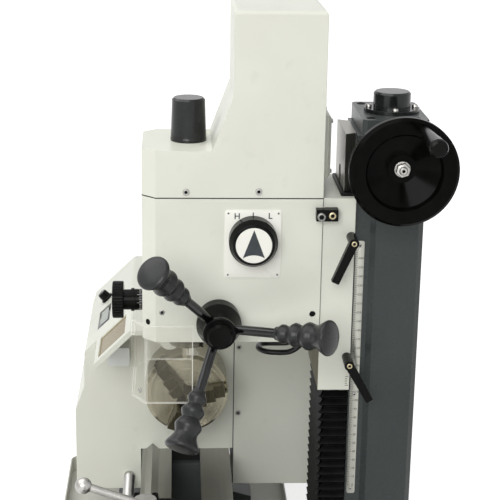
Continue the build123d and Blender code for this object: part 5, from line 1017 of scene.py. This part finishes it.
# leadscrew with its thread, along x
leadScrew = {
    "axis": (-72, 112), "x": (-490, 469.6), "thread": (-249.0, 443.0), "core": 5.7, "crest": 7.0,
    "pitch": 3.0, "bevel": 0.6, "runout": 1.3, "blunt": 0.05, "steps": 32, "sharp": 20,
}


def makeLeadscrew():
    s = leadScrew
    (x0, x1), (t0, t1), core, crest = s["x"], s["thread"], s["core"], s["crest"]
    bevel, runout, end = s["bevel"], s["runout"], x1 - x0
    bm = bmesh.new()
    turnInto(bm, [
        (0, 0), (crest - bevel, 0), (crest, bevel), (crest, t0 - x0), (core, t0 - x0 + runout),
        (core, t1 - x0 - runout), (crest, t1 - x0), (crest, end - bevel), (crest - bevel, end), (0, end),
    ], seat((x0, *s["axis"])), s["steps"])
    piece = dressed("leadscrew_core", bm, "leadSteel", "leadscrew", "steel")
    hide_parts("leadscrew")
    sizes = {"length": t1 - t0, "pitch": s["pitch"], "core": core, "ridge": crest - core - s["blunt"]}
    grow("leadscrew_thread", screwThread, sizes, "leadSteel", "leadscrew", "steel",
         seat((t0, *s["axis"])), sharp=s["sharp"])


makeLeadscrew()

# graduations: tree, body, finish and slot, place, sizes in mm
ink, white = ("markInk", "black_plastic"), ("markWhite", "ivory_paint")
graduations = {
    "saddle_index": (ruleTicks, "saddle", ink, seat((3, 167, 342)), {
        "count": 6, "pitch": 2.0, "short": 2.2, "long": 3.6, "width": 0.5, "relief": 0.12}),
    "quill_ticks": (ruleTicks, "tail_quill", ink, seat((352, 2.8, 269.8), up, right), {
        "count": 11, "pitch": 2.0, "short": 3.4, "long": 5.6, "width": 0.4, "relief": 0.7}),
    "fine_dial_ticks": (dialTicks, "fine_knob", white, seat((-50, -48.9, 421), front), {
        "count": 40, "radius": 11.5, "short": 3.2, "long": 5.4, "width": 0.26, "relief": 0.16}),
    "cross_dial_ticks": (dialTicks, "cross_crank", ink, seat((195, -122.8, 195), front), {
        "count": 50, "radius": 18.0, "short": 3.0, "long": 5.0, "width": 0.4, "relief": 0.16}),
    "top_dial_ticks": (dialTicks, "top_crank", ink, seat((235.8, -42, 230)), {
        "count": 50, "radius": 13.0, "short": 2.6, "long": 4.4, "width": 0.4, "relief": 0.16}),
}
for name, (tree, body, (finish, slot), place, sizes) in graduations.items():
    grow(name, tree, {"every": 5, **sizes}, finish, body, slot, place)
print("graduations done")

# toothed rack under the front way: y across, x along, teeth downwards
rack = {
    "x": (-190, 430), "y": -54.3, "top": 130.0, "bar": (7.4, 6.0),
    "pitch": 4.7, "first": 2, "tooth": (2.4, 2.6),
}


def makeRack():
    r = rack
    (x0, x1), (wide, thick), (tip, tall) = r["x"], r["bar"], r["tooth"]
    length, place = x1 - x0, seat((x0, r["y"], r["top"]), down, right)
    bar = [(0, 0), (wide, 0), (wide, length), (0, length)]
    slabPiece("bed_rack", "slideIron", "frame", "steel", bar, thick, place)
    place = seat((x0 + r["first"], r["y"], r["top"] - thick), down, right)
    grow("bed_rack_teeth", ruleTicks, {
        "count": int(length / r["pitch"]), "every": 1, "pitch": r["pitch"], "short": wide, "long": wide,
        "width": tip, "relief": 2 * tall,
    }, "slideIron", "frame", "steel", place)


makeRack()

# sloped console: display and the speed knob's scale, x and the way up the slope in mm
console = {
    "foot": (-126.4, 282.0), "slope": (0.7159, 0.6981), "recess": 1.5, "print": 0.12, "display": (-329, 30.5),
    "panel": (67.4, 20.4, 0.8), "panelThick": 1.1, "panelEase": 0.2, "pane": (47.0, 12.6, 0.6),
    "knob": (-394, 31.8), "knobTop": 12.0, "pointer": (0.9, 5.6, 0.3), "pointerOut": 2.94,
    "marks": 11, "mark": (2.2, 0.5, 0.2), "markRadius": 11.2, "markStart": 225, "markSweep": 270,
}


def onConsole(x, along):
    (y, z), (dy, dz) = console["foot"], console["slope"]
    return seat((x, y + along * dy, z + along * dz), (0, -dz, dy), (0, dy, dz))


def makeConsole():
    c = console
    display, knob = onConsole(*c["display"]), onConsole(*c["knob"])
    slabPiece("display_panel", "displayGlass", "frame", "black_plastic", roundedBox(*c["panel"]),
              c["panelThick"], display, c["panelEase"], -c["recess"])
    slabPiece("display_pane", "displayPale", "frame", "black_plastic", roundedBox(*c["pane"]), c["print"],
              display, start=c["panelThick"] - c["recess"])
    bm = bmesh.new()
    for i in range(c["marks"]):
        a = math.radians(c["markStart"] - c["markSweep"] * i / (c["marks"] - 1))
        turn = Matrix.Rotation(a, 4, "Z") @ Matrix.Translation((c["markRadius"] * mm, 0, 0))
        slabInto(bm, roundedBox(*c["mark"]), c["print"], knob @ turn)
    dressed("speed_scale", bm, "markInk", "frame", "black_plastic")
    place = knob @ Matrix.Translation((0, c["pointerOut"] * mm, 0))
    slabPiece("speed_pointer", "markWhite", "speed_knob", "ivory_paint", roundedBox(*c["pointer"]),
              c["print"], place, start=c["knobTop"])


makeConsole()
print("console done")

# floor, sky and lamps, in metres: each lamp's place, aim, size and power
stage = {
    "half": 9.0, "gap": 0.0006, "grain": (0.8, 2.0), "floor": ((0.8, 0.8, 0.79), (0.83, 0.83, 0.82)),
    "rough": 0.9, "near": (0.66, 0.66, 0.66), "far": (1, 1, 1), "fade": (0.9, 4.0),
    "sky": (0.97, 0.985, 1.0), "skyPower": 0.18,
    "lamps": {
        "keyLamp": ((2.3, -0.6, 1.55), (0, 0, 0.42), 1.5, 45.0),
        "fillLamp": ((2.2, 1.7, 1.5), (0, 0.1, 0.45), 1.8, 4.0),
        "topLamp": ((-0.1, -1.0, 2.5), (-0.05, 0.0, 0.5), 2.8, 50.0),
    },
}


# rays that see the white ground: straight, mirrored and let through
def backdropRays(graph):
    seen = graph.node("LightPath", {}, {}, "Is Camera Ray")
    return (seen + seen.also("Is Glossy Ray") + seen.also("Is Transmission Ray")).clamped()


def makeFloor():
    s, bm = stage, bmesh.new()
    half, z = s["half"], cadLow.z - s["gap"]
    corners = ((-half, -half), (half, -half), (half, half), (-half, half))
    bm.faces.new([bm.verts.new((x, y, z)) for x, y in corners])
    floor = bpy.data.objects.new("studio_floor", meshFrom("studio_floor", bm))
    scene.collection.objects.link(floor)
    f = Finish("studioFloor")
    x, y = f.axes()[:2]
    away = f.fade((x * x + y * y) ** 0.5, *s["fade"])
    glow = f.blend(backdropRays(f), (0, 0, 0), f.blend(away, s["near"], s["far"]))
    floor.data.materials.append(f.put({
        "Base Color": f.blend(f.noise(*s["grain"]), *s["floor"]), "Roughness": s["rough"],
        "Emission Color": glow, "Emission Strength": 1.0}))


def makeSky():
    world = bpy.data.worlds.new("studioSky")
    world.use_nodes = True
    scene.world = world
    g = Graph(world.node_tree)
    g.tree.nodes.clear()
    sky = g.node("Background", {}, {"Color": solid(stage["sky"]), "Strength": stage["skyPower"]})
    white = g.node("Background", {}, {"Color": solid(stage["far"]), "Strength": 1.0})
    both = g.node("MixShader", {}, {0: backdropRays(g), 1: sky, 2: white})
    g.tree.links.new(both.socket, g.tree.nodes.new("ShaderNodeOutputWorld").inputs[0])


def makeLamps():
    for name, (place, aim, size, power) in stage["lamps"].items():
        data = bpy.data.lights.new(name, "AREA")
        data.energy, data.size = power, size
        lamp = bpy.data.objects.new(name, data)
        scene.collection.objects.link(lamp)
        turn = (Vector(place) - Vector(aim)).to_track_quat("Z", "Y").to_matrix().to_4x4()
        lamp.matrix_world = Matrix.Translation(place) @ turn


makeFloor()
makeSky()
makeLamps()
print("stage lit")
